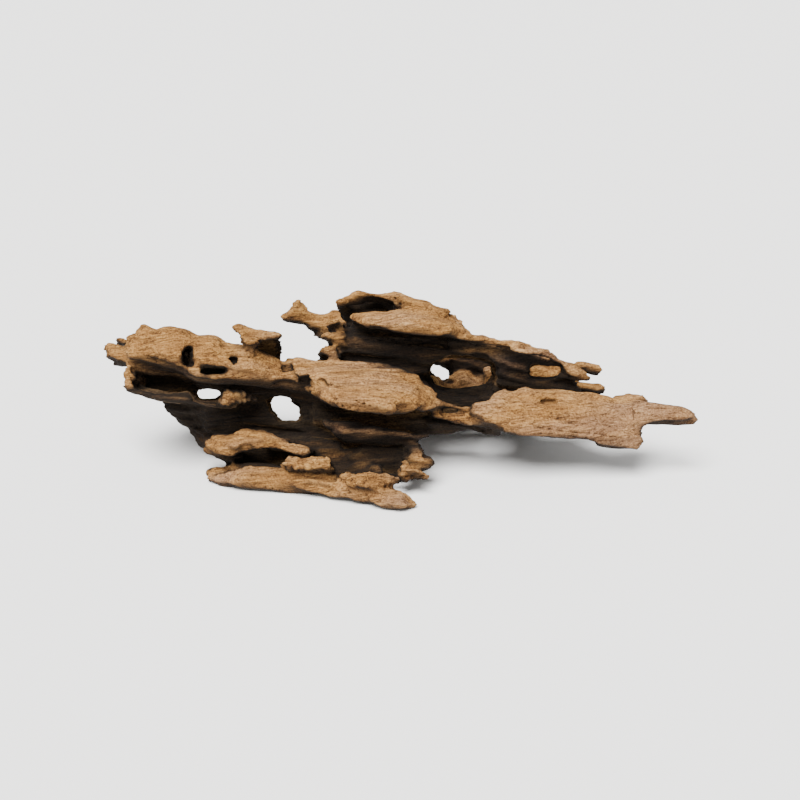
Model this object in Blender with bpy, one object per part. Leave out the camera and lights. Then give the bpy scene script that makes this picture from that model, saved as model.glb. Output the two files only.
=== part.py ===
"""Honeycomb driftwood: one weathered, hollow piece of wood lying on its side.

The wood grew and rotted as one piece, so it is one solid. Its limbs run along the grain, which is X.
Each limb is a row of cross-sections measured by eye along its outline in the front view, and each
hollow is measured in the same way. The limbs are fused, the hollows are cut out of them, the eroded
grain is raised from the surface by a formula, and the feet are cut level with the ground.

Units are metres, +Z is up, and the front view looks along +Y and 25 degrees down.
"""

import math

import bmesh
import bpy
from mathutils import Vector, noise

# Driving dimensions
LENGTH = 0.357  # tip to tip along the grain
VIEW_DISTANCE = 0.90  # from the front view's eye to the middle of the wood
VIEW_ELEVATION = math.radians(25)
AIM_HEIGHT = 0.044  # height above the ground of the point in the middle of the view
MILLIMETRE = 0.001

# The front view is measured in pixels of the photograph
VIEW_CENTRE = 400  # the middle of the view, across and down
VIEW_SPAN = 595  # the wood's length in the view
FOCAL = VIEW_DISTANCE * VIEW_SPAN / LENGTH

# Mesh sizes
VOXEL = 1.6 * MILLIMETRE
RING_STEP = 3.0  # view pixels between a limb's cross-sections
SIDES = 24
SQUARENESS = 3.0  # 2 gives oval sections, and more gives flatter faces with tighter edges
LEAST_RINGS = 6
SPUR_RINGS = 4  # for each point of a spur
POLE = 0.001  # a ball's points that are this close to its axis are its poles
THICKEST = 0.65  # the largest share of a leaning limb's height that its thickness may take
LEAST_INCLINE = 0.1  # the sine of the smallest lean that this share reckons with
WEAR = 0.5  # how far a round of wear smooths the edges, from 0 to 1
TRIANGLES = 11400
GROUND = 0.0  # height at which the feet are cut level

# Relief of the eroded grain, in millimetres
GRAIN_RUN = 110
GRAIN_WIDTH = 7.0
GRAIN_DEPTH = 2.0
GRAIN_LEVEL = 0.4  # the part of the grain's depth that stays under the limbs' own surface
GRAIN_SWAY = 5
SWAY_RUN = 90
SWAY_WIDTH = 35
GRAIN_FALL = 0.14  # how far the grain drops for each millimetre to the right
CREST_SPREAD = 3.2  # brings the noise's usual reach up to the full height of a ridge
SPLINTER_WIDTH = 5.4
SPLINTER_DEPTH = 2.0
SPLINTER_LEVEL = 0.5
CRUMBLE_SIZE = 9
CRUMBLE_DEPTH = 0.5
DEEPEST_GROOVE = 1.7
DEEPEST_NOTCH = 2.0  # at the broken ends

# Directions of the front view, as world vectors
SIGHT = Vector((0, math.cos(VIEW_ELEVATION), -math.sin(VIEW_ELEVATION)))
UPWARD = Vector((0, math.sin(VIEW_ELEVATION), math.cos(VIEW_ELEVATION)))
ACROSS = Vector((1, 0, 0))
EYE = Vector((0, 0, AIM_HEIGHT)) - SIGHT * VIEW_DISTANCE

# Limbs that run along the grain. Each name has its lean, which is the angle in degrees that its
# section's top leans away from the eye, and its sections from left to right:
# (across, top, bottom) in view pixels, then (depth, half thickness) in millimetres.
LIMBS = {
    "arm roof": (30, [
        (125.5, 338, 366, 8, 7), (130, 334.5, 366, 7, 9), (140, 331, 365, 6, 10), (155, 331, 368, 5, 11),
        (165, 327, 370.5, 4, 12), (172, 325.5, 372, 4, 12), (182, 328.5, 374.5, 3, 13),
        (190, 331.5, 379, 2, 12), (197, 336, 382, 1, 11), (216, 336.5, 384, 0, 11),
        (228, 343, 384, 0, 10), (245, 345, 384, 0, 10), (260, 350, 386, 1, 10),
        (272, 356, 388, 2, 10), (283, 362, 390, 3, 10), (300, 364, 393, 4, 9), (318, 368, 395, 6, 6),
    ]),
    "arm underside": (-50, [
        (192, 370, 388, 4, 4), (205, 372, 389, 6, 6), (222, 374, 394, 8, 7), (240, 376, 396, 10, 7),
        (262, 378, 396, 11, 8), (285, 382, 397, 11, 8), (305, 384, 398, 10, 6),
    ]),
    "arm spike": (20, [
        (137, 326, 328, 8, 1.5), (140, 325, 334, 8, 3), (146, 325.5, 338, 8, 5),
        (151, 328, 340, 8, 6), (158, 331, 345, 8, 6),
    ]),
    "arm knob": (10, [
        (102, 347.5, 351, 18, 3), (105, 345, 355, 18, 6), (109, 343.5, 359, 17, 8),
        (113, 344, 361, 16, 9), (118, 345.5, 364, 15, 9), (125, 347, 367, 13, 9), (140, 348, 369, 10, 8),
    ]),
    "arm knob heel": (10, [
        (109, 361.5, 365, 18, 2), (113, 360, 367.5, 17, 4), (120, 360, 369, 15, 6),
        (130, 361, 370, 12, 6),
    ]),
    "arm bud": (0, [
        (113.5, 340, 342.5, 28, 2), (116, 338.5, 344, 28, 4), (121, 338.8, 345, 27, 4.5),
        (127, 340.5, 346, 24, 5), (138, 341, 348, 18, 5),
    ]),
    "arm rim": (-12, [
        (121.5, 386, 388.5, -2, 3), (127, 383, 391, -3, 6), (133, 385, 392.5, -4, 8),
        (140, 386, 396, -5, 9), (150, 389, 399.5, -6, 9), (160, 391, 401.5, -6, 9),
        (172, 391.5, 402.5, -6, 9), (182, 390.5, 402.5, -6, 9), (190, 391, 403, -6, 8),
        (197, 398, 404.5, -6, 8), (206, 400, 406, -6, 8), (216, 400, 407.5, -5, 8),
        (226, 400, 408.5, -3, 8), (240, 399, 407, 1, 6),
    ]),
    "arm back strand": (-20, [
        (150, 366, 380, 33, 4), (172, 358, 376, 38, 7), (196, 354, 374, 39, 7), (222, 358, 378, 38, 7),
        (250, 366, 386, 37, 7), (280, 372, 394, 36, 8), (312, 380, 404, 36, 8), (336, 388, 412, 38, 7),
    ]),
    "membrane strand": (-28, [
        (178, 402, 412, 28, 4), (200, 405, 420, 28, 7), (228, 411, 430, 28, 9), (262, 416, 437, 29, 9),
        (300, 420, 441, 32, 9), (335, 422, 441, 36, 9),
    ]),
    "membrane heel": (-10, [
        (206, 430, 442, 22, 4), (224, 432, 446, 24, 8), (250, 436, 448, 26, 8), (276, 436, 447, 28, 7),
        (300, 434, 443, 30, 5),
    ]),
    "arm end post": (15, [
        (124, 364, 389, 0, 5), (127, 362, 391, 0, 7), (134, 362, 391, 1, 7), (138.5, 364, 390, 3, 5),
    ]),
    "arm back wall": (-10, [
        (133, 360, 388, 16, 5), (140, 356, 393, 20, 8), (150, 350, 397, 23, 10), (165, 346, 400, 24, 11),
        (185, 344, 401, 25, 11), (205, 346, 403, 26, 11), (225, 350, 404, 26, 10),
        (245, 354, 405, 26, 10), (270, 360, 404, 24, 10), (300, 364, 402, 22, 10),
    ]),
    "horn": (24, [
        (230.5, 327, 330, 2, 2), (233.5, 325, 332, 1, 4), (238, 324.5, 334.5, 0, 5),
        (243, 325, 345, 0, 6), (248, 327.5, 352, 1, 7), (254, 329.5, 353, 1, 7),
        (259, 330.5, 346, 0, 6), (264, 331.5, 340.5, 0, 5), (270, 332.5, 339, 0, 4),
        (277, 333.5, 337.5, 0, 3),
        (284, 334.5, 336.5, 0, 2),
    ]),
    "horn back wall": (-45, [
        (248, 338, 358, 15, 5), (256, 337, 360, 17, 5), (266, 337, 362, 18, 6), (273, 337, 364, 18, 6),
        (278, 337, 364, 18, 5), (282, 338, 363, 18, 3),
    ]),
    "arm crumb": (40, [
        (215.5, 402, 407, -7, 3), (220, 396, 409, -8, 6), (225, 390, 409.5, -9, 7),
        (231, 389, 406, -8, 8), (240, 390, 402.5, -6, 8), (248, 392, 402, -4, 7),
        (255, 395, 401.5, -1, 6), (261, 398, 401, 3, 4),
    ]),
    "left membrane": (-25, [
        (161, 399, 403, 21, 4), (167, 397, 408, 21, 5), (172, 396, 418, 21, 6), (178, 396, 423, 21, 7),
        (186, 396, 427, 20, 7), (193, 396, 436, 19, 7), (198, 396, 447, 16, 7), (206, 396, 451, 14, 8),
        (216, 396, 456, 12, 8), (228, 396, 459, 11, 8), (250, 396, 459, 11, 8), (280, 396, 459, 11, 8),
        (310, 396, 459, 11, 8), (340, 394, 459, 10, 8),
    ]),
    "shelf": (58, [
        (202, 440, 444, -8, 2), (206, 437, 449, -12, 4), (214, 434, 453, -16, 6),
        (222, 432, 456, -18, 6.5), (230, 431, 456, -19, 6.5), (238, 430, 454, -20, 6),
        (249, 428, 451, -20, 6), (256, 430.5, 450, -20, 5.5), (265, 430.5, 449, -20, 5),
        (275, 435, 451, -19, 4.5), (284, 437, 452, -18, 4), (291, 438.5, 450, -16, 3),
    ]),
    "shelf keel": (0, [
        (203, 446, 451, -8, 3), (212, 446, 454, -11, 6), (220, 448, 459, -13, 8),
        (228, 450, 462, -14, 8), (236, 452, 463, -14, 7), (246, 453, 461, -13, 5),
    ]),
    "shelf tab": (58, [
        (272, 442, 449, -20, 3), (284, 443.5, 453, -23, 5), (290, 444.5, 454, -24, 5),
        (297, 445, 456, -24, 5), (305, 446, 458, -23, 5), (311, 446.5, 458, -22, 4.5),
        (315.5, 448, 453, -20, 2),
    ]),
    "shelf bridge": (30, [
        (262, 436, 450, -12, 6), (290, 440, 456, -10, 9), (316, 442, 466, -10, 10),
        (345, 442, 470, -10, 10),
    ]),
    "shelf root": (0, [
        (225, 440, 462, -1, 7), (250, 438, 463, 0, 9), (280, 438, 464, 0, 10), (320, 436, 468, -3, 14),
        (345, 436, 472, -6, 14),
    ]),
    "ground web": (50, [
        (224, 460, 466, -11, 6), (240, 458, 469, -11, 8), (260, 458, 471, -12, 9),
        (290, 456, 474, -13, 10), (320, 454, 479, -16, 12), (345, 456, 483, -20, 12),
        (365, 460, 486, -28, 11), (384, 466, 490, -36, 9),
    ]),
    "bottom limb": (56, [
        (203.5, 473, 477, -16, 2), (206, 471, 480, -18, 4), (211, 468.5, 483.5, -20, 5.5),
        (220, 467, 486, -22, 6), (232, 465, 488.5, -25, 7), (245, 463.5, 489.5, -27, 7),
        (260, 464.5, 490, -28, 7), (280, 465, 491, -30, 7), (300, 466, 492.5, -32, 7.5),
        (320, 468, 494.5, -35, 7.5), (338, 476, 497.5, -40, 7.5), (355, 484, 500.5, -45, 7),
        (370, 488, 504, -49, 7), (382, 489, 507.5, -52, 7), (395, 489.5, 509, -53, 6.5),
        (404, 493.5, 509, -54, 5.5), (411, 498.5, 508.5, -54, 4), (417, 503, 507, -54, 2),
    ]),
    "bottom lump": (30, [
        (281, 464, 468, -30, 3), (286, 459, 472, -31, 7), (295, 457.5, 475, -32, 9),
        (305, 457.5, 477, -33, 10), (318, 456.5, 478, -34, 10), (328, 457.5, 478, -35, 9),
        (333, 461, 476, -36, 6), (336, 466, 474, -36, 3),
    ]),
    "lower shelf": (50, [
        (337, 474, 480, -40, 4), (344, 472.5, 487, -44, 7), (358, 472, 490, -47, 8),
        (372, 472.5, 490.5, -48, 8), (384, 473.5, 490.5, -48, 7), (394, 474, 487, -45, 6),
        (402, 471, 482, -41, 5),
    ]),
    "lower spike": (20, [
        (396, 461, 485, -32, 5), (400, 460, 484, -34, 6), (405, 462, 482.5, -35, 6),
        (412, 465.5, 480.5, -36, 6), (419, 469, 479.5, -37, 5), (426, 472, 479, -38, 3.5),
        (430, 474.5, 478, -38, 2), (432.5, 475.5, 477, -38, 1),
    ]),
    "upper spike": (-5, [
        (402, 446, 470, -20, 6), (408, 443.5, 474, -22, 8), (413, 442, 475, -23, 8),
        (418, 443, 474, -24, 7),
        (422, 449, 472, -25, 6.5), (427, 456, 470.5, -26, 6), (431, 459, 467, -27, 4),
        (435, 460, 462.5, -27, 1.5),
    ]),
    "column": (-18, [
        (328, 440, 472, -4, 6), (336, 440, 476, -7, 10), (350, 440, 480, -10, 13),
        (370, 440, 482, -12, 14), (390, 440, 482, -12, 14), (405, 440, 478, -12, 12),
        (414, 441, 470, -12, 9), (418, 443, 458, -12, 5),
    ]),
    "middle rib": (25, [
        (320.5, 417, 424, -12, 3), (328, 418, 430, -14, 5), (335, 419.5, 438, -16, 7),
        (345, 420.5, 442, -17, 7.5), (360, 423, 444, -18, 7.5), (380, 426.5, 444, -19, 7.5),
        (400, 429.5, 444, -19, 7), (415, 431.5, 442.5, -18, 6), (425, 432, 438.5, -17, 4),
        (434.5, 432.5, 434.5, -15, 1.5),
    ]),
    "recess wall": (-35, [
        (312, 398, 420, 6, 6), (330, 400, 428, 5, 9), (350, 400, 434, 4, 12), (380, 400, 436, 3, 13),
        (410, 400, 436, 3, 12), (430, 402, 434, 4, 10), (440, 404, 431, 7, 6),
    ]),
    "tongue": (56, [
        (283, 362, 368, 8, 3), (288, 358.5, 374, 5, 4.5), (294, 356, 379, 2, 5.5),
        (302, 357, 386, -2, 6), (310, 359, 393, -5, 6.5), (320, 360, 398, -8, 6.5),
        (332, 359, 405, -11, 6.5), (345, 359.5, 409.5, -13, 6.5), (362, 361, 411.5, -14, 6.5),
        (380, 363, 414.5, -15, 6.5), (392, 366, 415, -15, 6.5), (405, 370, 413, -14, 6.5),
        (417, 374, 412, -13, 6), (427, 384, 411.5, -10, 5.5), (437, 393, 411, -8, 5),
        (446, 399, 411, -6, 4), (455, 403.5, 412, -4, 3.5), (462, 405.5, 413, -2, 3),
    ]),
    "core": (0, [
        (288, 368, 396, 14, 8), (320, 361, 404, 14, 12), (340, 358.5, 408, 16, 14),
        (360, 359, 410, 15, 15),
        (380, 362, 411, 14, 15), (400, 366, 412, 13, 14), (424, 380, 412, 12, 12), (436, 394, 412, 10, 7),
    ]),
    "connector": (-30, [
        (424, 412, 424, -4, 5), (432, 413, 433, -2, 7), (442, 413, 433.5, 0, 8),
        (452, 413, 433.5, 1, 8), (462, 412, 433, 1, 8), (472, 410, 433, 0, 8),
        (482, 412, 434, -3, 8), (492, 412, 435, -6, 8), (504, 415, 436.5, -8, 7),
    ]),
    "plate": (22, [
        (469.5, 409, 415, -14, 2), (472.5, 404.5, 419, -14, 4), (479, 402.5, 421, -14, 5),
        (486, 399, 424.5, -13, 6), (492, 395, 428, -12, 7), (498, 389.5, 432, -11, 7),
        (503, 384.5, 435, -10, 7), (508, 386.5, 436.5, -10, 7), (512, 389.5, 437, -10, 7),
        (518, 385.5, 438, -10, 7), (525, 384, 438.5, -9, 7), (532, 386.5, 438.5, -9, 7),
        (560, 388.5, 440.5, -8, 7), (570, 390, 440.5, -8, 7), (580, 394, 440.5, -8, 7),
        (588, 393, 441, -8, 7), (597, 394.5, 446, -8, 7), (612, 396, 447.5, -8, 7),
        (625, 397.5, 448, -8, 7), (635, 399, 448.5, -8, 6), (640, 400, 447.5, -8, 5),
        (644, 407, 443, -8, 3),
    ]),
    "plate tip": (15, [
        (628, 399, 428, -8, 7), (640, 400, 427, -8, 7), (650, 401, 424, -8, 6.5),
        (665, 402.5, 423.5, -8, 6), (680, 404, 424.5, -8, 6), (687, 406.5, 424.5, -8, 5.5),
        (692, 410.5, 424, -8, 5), (696, 415, 423, -8, 3.5), (698, 418, 421, -8, 1.5),
    ]),
    "plate root": (0, [
        (488, 396, 424, 4, 8), (500, 394, 428, 7, 12), (520, 394, 432, 8, 13), (550, 396, 434, 8, 13),
        (580, 400, 434, 5, 10), (602, 404, 436, 0, 6),
    ]),
    "plate sliver": (20, [
        (612, 398, 410, 6, 3), (620, 396, 410, 6, 4), (627, 394, 410, 6, 4), (636, 395, 410, 6, 4),
        (643, 397, 409, 6, 3), (648, 400, 408, 6, 2),
    ]),
    "cap roof": (32, [
        (334, 299, 303, 24, 3), (337, 297, 305.5, 24, 6), (343, 294, 306, 24, 8),
        (350, 292, 305, 25, 9), (360, 291.5, 304.5, 26, 9), (370, 290.5, 304, 27, 9),
        (380, 290.5, 305, 27, 9), (390, 291, 310, 26, 9), (400, 292, 318, 24, 10),
        (410, 294.5, 323, 22, 10), (420, 298, 326, 20, 10), (430, 303.5, 328, 19, 10),
        (440, 308, 330, 18, 9), (448, 310.5, 330, 18, 8), (453, 313.5, 329, 19, 6),
        (458, 317, 328, 20, 4),
    ]),
    "cap end wall": (-20, [
        (337, 300, 308, 30, 3), (340, 299, 315, 31, 4), (344, 299, 320, 31, 5),
        (348, 300, 321, 33, 5), (354, 300, 318, 37, 6), (360, 301, 316, 40, 6),
    ]),
    "cap back wall": (-15, [
        (345, 298, 330, 38, 8), (370, 297, 336, 39, 11), (395, 298, 340, 38, 11),
        (415, 302, 342, 36, 10), (432, 310, 344, 33, 8),
    ]),
    "cap jag": (0, [
        (450, 314, 326, 24, 5), (456, 316, 328, 25, 4), (460, 319, 328, 25, 3),
        (464, 326, 329.5, 25, 2), (468, 326.5, 328.5, 25, 1),
    ]),
    "ledge": (62, [
        (325, 323.5, 326.5, 18, 2), (330, 321.5, 327, 17, 3), (338, 319.5, 325, 16, 3.5),
        (346, 317, 322, 14, 3.5), (352, 315, 324, 12, 5), (360, 313, 326, 10, 6),
        (370, 313, 328, 8, 6.5), (380, 313, 330.5, 7, 7), (392, 311, 333, 6, 7.5),
        (405, 310, 334.5, 5, 8), (420, 313, 336, 5, 8), (435, 316, 337, 5, 8), (450, 319, 338.5, 6, 8),
        (462, 326, 340.5, 8, 7), (474, 334, 343, 10, 5), (490, 338.5, 342.5, 10, 3),
    ]),
    "ledge root": (20, [
        (350, 314, 326, 22, 7), (370, 312, 328, 22, 10), (400, 312, 334, 20, 11),
        (430, 316, 338, 20, 11), (455, 324, 340, 20, 9),
    ]),
    "bar": (45, [
        (464, 330, 342, 14, 5), (472, 334, 343, 13, 5), (484, 337.5, 344, 12, 4.5),
        (496, 339, 346, 11, 5), (504, 340, 351, 10, 6), (512, 340, 356, 9, 7),
        (520, 340.5, 358, 8, 7), (530, 344.5, 358.5, 8, 7), (540, 348, 360, 8, 7),
        (548, 350, 362, 9, 7), (556, 355.5, 365, 10, 6), (565, 361, 369.5, 11, 6),
        (574, 364, 373.5, 12, 5), (582, 369, 378, 12, 4), (588, 374, 380, 12, 2.5),
        (591, 377, 379, 12, 1),
    ]),
    "flank": (-30, [
        (333, 343, 352, 19, 3), (337, 337, 358, 20, 7), (345, 330, 364, 22, 10),
        (355, 322, 367, 23, 11), (370, 322, 369, 23, 12), (385, 325, 372, 23, 12),
        (400, 328, 376, 23, 12), (415, 330, 378, 23, 12), (428, 332, 374, 22, 11),
        (440, 334, 364, 21, 10), (450, 336, 358, 21, 9), (462, 338, 354, 20, 8),
    ]),
    "end flake top": (20, [
        (323, 324, 327, 22, 2), (328, 322.5, 329, 22, 4), (335, 322, 331, 22, 5), (348, 322, 333, 22, 5),
    ]),
    "end flake middle": (20, [
        (320, 336.5, 340, 18, 2), (324, 334, 343, 18, 4), (330, 331.5, 347, 18, 6),
        (337, 329.5, 350, 18, 7), (350, 328.5, 352, 18, 7),
    ]),
    "end flake low": (10, [
        (316, 354, 358, 14, 3), (319.5, 350.5, 360, 14, 6), (325, 348, 360.5, 13, 8),
        (331, 348, 362.5, 12, 9), (342, 350, 364, 12, 9),
    ]),
    "right wall": (-30, [
        (489, 352, 396, 16, 5), (496, 346, 401, 18, 8), (510, 348, 403, 19, 8),
        (530, 352, 403, 19, 8), (550, 356, 403, 19, 8), (565, 361, 403, 19, 7),
        (572, 368, 401, 18, 6), (577, 381, 400, 17, 4), (582, 390, 399, 16, 3),
    ]),
    "ring": (-10, [
        (420, 352, 392, 28, 5), (430, 348, 396, 28, 7), (445, 346, 398, 28, 8),
        (465, 346, 400, 28, 8), (485, 348, 398, 28, 8), (497, 350, 394, 28, 8),
        (505, 354, 390, 26, 6),
    ]),
    "back foot": (-25, [
        (330, 412, 432, 38, 5), (345, 408, 436, 43, 8), (372, 404, 435, 50, 10),
        (400, 405, 429, 55, 10), (430, 401, 426, 57, 11), (462, 405, 425, 55, 9),
        (500, 400, 427, 56, 11), (536, 404, 432, 56, 10), (566, 402, 433, 53, 10),
        (596, 406, 431, 50, 8), (614, 410, 428, 47, 4),
    ]),
    "back strand": (-5, [
        (318, 380, 398, 36, 4), (340, 374, 398, 44, 7), (368, 368, 392, 50, 9), (396, 372, 392, 54, 8),
        (424, 378, 400, 53, 8), (452, 381, 396, 54, 7), (480, 376, 394, 55, 8), (508, 374, 395, 52, 9),
        (538, 376, 392, 48, 7), (560, 386, 400, 42, 6), (576, 392, 402, 34, 4),
    ]),
    "back strand rise left": (0, [
        (352, 344, 384, 48, 7), (366, 348, 412, 50, 9), (378, 360, 418, 51, 7),
    ]),
    "back strand rise middle": (0, [
        (424, 356, 386, 52, 6), (438, 352, 420, 54, 9), (452, 384, 420, 54, 6),
    ]),
    "back strand rise right": (0, [
        (512, 352, 392, 48, 7), (524, 366, 420, 50, 9), (538, 384, 416, 50, 6),
    ]),
    "back beam": (10, [
        (320, 316, 329, 60, 5), (327, 313, 333, 59, 7), (333, 310.5, 336, 58, 8),
        (340, 310.5, 340, 57, 9), (352, 313, 346, 56, 10), (372, 318, 352, 54, 10),
        (396, 322, 354, 50, 11), (412, 326, 356, 44, 10), (424, 330, 358, 36, 8),
    ]),
    "fork": (0, [
        (279.5, 315.5, 318.5, 62, 2), (283, 314, 320, 62, 4), (288, 311, 321, 62, 5.5),
        (293, 307, 321.5, 62, 6.5), (299, 306, 322, 62, 7), (304, 310, 323.5, 62, 6.5),
        (311, 313, 328, 61, 6), (318, 315, 331, 60, 6), (326, 316, 334, 59, 6), (336, 318, 336, 58, 6),
    ]),
    "fork heel": (0, [
        (305, 325, 328, 58, 2), (309, 324, 330.5, 58, 4), (314, 325, 333, 58, 5),
        (318, 326, 338, 58, 5), (325, 326, 339, 57, 6), (334, 327, 340, 56, 6),
    ]),
    "back twig": (10, [
        (556, 364, 378, 45, 5), (564, 363, 377, 43, 6), (572, 361.5, 373, 38, 6),
        (580, 361.5, 371.5, 35, 5.5),
        (590, 363.5, 373, 34, 4.5), (598, 365, 374, 34, 4), (603, 367.5, 373, 34, 2.5),
    ]),
    "back stub": (10, [
        (566, 382, 398, 27, 6), (580, 383, 398, 28, 6), (592, 385, 398, 28, 6), (600, 385, 396, 28, 5),
        (604, 386.5, 392, 28, 3), (606, 387.5, 389, 28, 1),
    ]),
    "cross web left": (0, [
        (300, 404, 440, 30, 8), (315, 398, 440, 34, 12), (335, 396, 440, 36, 12), (350, 396, 436, 38, 8),
    ]),
    "cross web middle": (0, [
        (384, 352, 412, 34, 12), (398, 350, 420, 38, 16), (412, 352, 418, 38, 14), (422, 356, 408, 36, 8),
    ]),
    "cross web right": (0, [
        (498, 366, 424, 30, 12), (510, 362, 428, 34, 16), (522, 364, 430, 36, 14),
        (532, 376, 428, 36, 8),
    ]),
    "connector ridge": (50, [
        (428, 407, 415, -12, 3), (436, 410.5, 419, -12, 4), (445, 413, 422, -11, 4.5),
        (456, 413, 424, -10, 5), (466, 409, 425, -10, 6), (476, 405, 426, -11, 7),
        (488, 402, 428, -11, 7),
    ]),
    "connector back": (40, [
        (436, 402, 412, 0, 4), (446, 402, 411, 2, 5), (458, 404, 411, 2, 5), (470, 404, 412, 0, 5),
        (480, 402, 412, -4, 5),
    ]),
    "bar shade": (-35, [
        (446, 330, 356, 19, 7), (456, 332, 358, 18, 9), (470, 336, 359, 18, 9), (486, 340, 364, 18, 9),
        (500, 342, 372, 18, 9), (520, 345, 378, 18, 8), (540, 352, 378, 18, 7), (556, 358, 376, 18, 6),
    ]),
    "back beam right": (40, [
        (490, 344, 362, 32, 6), (502, 347, 368, 40, 8), (516, 352, 376, 47, 8), (532, 355, 384, 51, 8),
        (550, 358, 388, 50, 8), (566, 366, 391, 43, 8), (582, 384, 395, 34, 6),
    ]),
    "arm floor": (8, [
        (126, 384, 391, 6, 6), (136, 388, 395, 8, 9), (150, 393, 399.5, 9, 12), (165, 396, 402, 9, 13),
        (185, 396, 403.5, 9, 13), (200, 400, 405.5, 9, 12), (218, 401, 407.5, 10, 12),
        (235, 400, 408, 11, 12),
    ]),
    "horn roof": (0, [
        (250, 333, 341, 6, 8), (258, 332.5, 340, 8, 10), (268, 333, 338.8, 9, 10),
        (276, 333.8, 338, 9, 9),
        (284, 334.5, 337.5, 9, 6),
    ]),
    "column foot": (20, [
        (322, 470, 480, -26, 8), (340, 473, 484, -30, 12), (370, 474, 485, -32, 13),
        (395, 474, 483, -32, 11), (408, 474, 480, -30, 7),
    ]),
    "arm ceiling": (-55, [
        (128, 361, 370, 3, 5), (145, 361, 373, 6, 7), (160, 364, 375, 7, 8), (175, 367, 377.5, 8, 8),
        (190, 371, 382, 8, 8), (205, 377, 387, 8, 8), (222, 380, 390, 8, 7),
    ]),
    "arm cheek": (0, [
        (131, 363, 390, 4, 5), (138, 364, 391, 6, 6), (144, 366, 391, 11, 6), (150, 368, 391, 16, 6),
        (156, 370, 391, 20, 5),
    ]),
    "bar hook": (38, [
        (550, 354, 366, 13, 6), (558, 359, 371.5, 13, 7), (566, 363.5, 377, 13, 7),
        (573, 365.5, 380.5, 13, 7), (580, 368.5, 381.5, 13, 6.5), (585, 372, 381, 13, 5),
        (589, 375.5, 380, 13, 3), (591.5, 377.5, 379, 13, 1.5),
    ]),
}

# Limbs that show inside a hollow, and that the hollows don't cut
INNER_LIMBS = {
    "arm barrel": (24, [
        (188, 345, 367, 7, 4), (192, 340, 370, 4, 8), (199, 337, 372, 2, 10), (212, 336.5, 372.5, 1, 11),
        (222, 338.5, 372, 2, 10), (228, 343, 369, 3, 7), (231.5, 349, 363, 5, 3),
    ]),
    "tunnel floor": (-35, [
        (426, 382, 412, 20, 4), (434, 386, 414, 20, 7), (446, 389, 415, 20, 8), (460, 390, 415, 20, 8),
        (476, 389.5, 415, 20, 8), (488, 386, 412, 20, 7), (500, 378, 408, 18, 5),
    ]),
    "far lump": (45, [
        (445, 381, 394, 56, 4), (449, 377, 396, 57, 6), (454, 373, 397, 58, 7),
        (460, 371, 398, 58, 8), (467, 371.5, 398, 58, 8), (473, 376, 398, 57, 7),
        (480, 384, 396, 55, 5),
    ]),
    "far wall": (-30, [
        (428, 350, 361, 60, 3), (437, 348, 364.5, 63, 5), (444, 346, 368, 66, 6), (449, 344, 374, 68, 6),
        (452, 343, 384, 69, 6), (460, 342, 389, 70, 7), (475, 340, 390, 69, 7), (492, 344, 392, 66, 7),
        (506, 350, 392, 60, 8), (520, 356, 390, 52, 7),
    ]),
    "tunnel sill": (62, [
        (430, 371, 379, 44, 3), (434, 375, 386, 46, 4), (440, 380, 391, 47, 4.5),
        (448, 383.5, 393, 48, 5), (460, 385, 394, 48, 5), (472, 384.5, 394, 48, 5),
        (481, 381.5, 392, 47, 5), (487, 376.5, 390, 46, 4.5), (492, 369, 386, 45, 4),
    ]),
    "far spot": (50, [
        (481, 372, 378, 52, 2), (484, 367.5, 380, 52, 3), (489, 365.5, 381, 52, 3.5),
        (494, 367, 380, 51, 3),
        (500, 370, 378, 48, 3),
    ]),
    "tongue tail": (56, [
        (412, 372, 411, -13, 5.5), (420, 377, 411.5, -12, 5.5), (428, 385, 411.5, -11, 5),
        (435, 391, 411, -10, 4.5), (441, 396, 408, -9, 4), (448, 400.5, 407, -8, 3.5),
        (456, 404, 408.5, -7, 3.5), (464, 405, 412, -8, 4), (472, 404.5, 417, -10, 4.5),
    ]),
}

# Spurs, twigs and thorns that grow off the grain. Each is a path of points from root to tip:
# (across, down) in view pixels, then (depth, radius) in millimetres.
SPURS = {
    "fork prong": [(302, 316, 62, 5.0), (299, 309, 62, 4.4), (296.5, 304, 62, 3.6), (296, 300, 62, 2.8)],
    "fork thorn": [(320, 332, 58, 3.4), (315, 336, 58, 2.2), (312, 337.5, 58, 1.4)],
    "sliver thorn": [(641, 400, 6, 2.4), (644, 395, 6, 1.4)],
}

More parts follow.
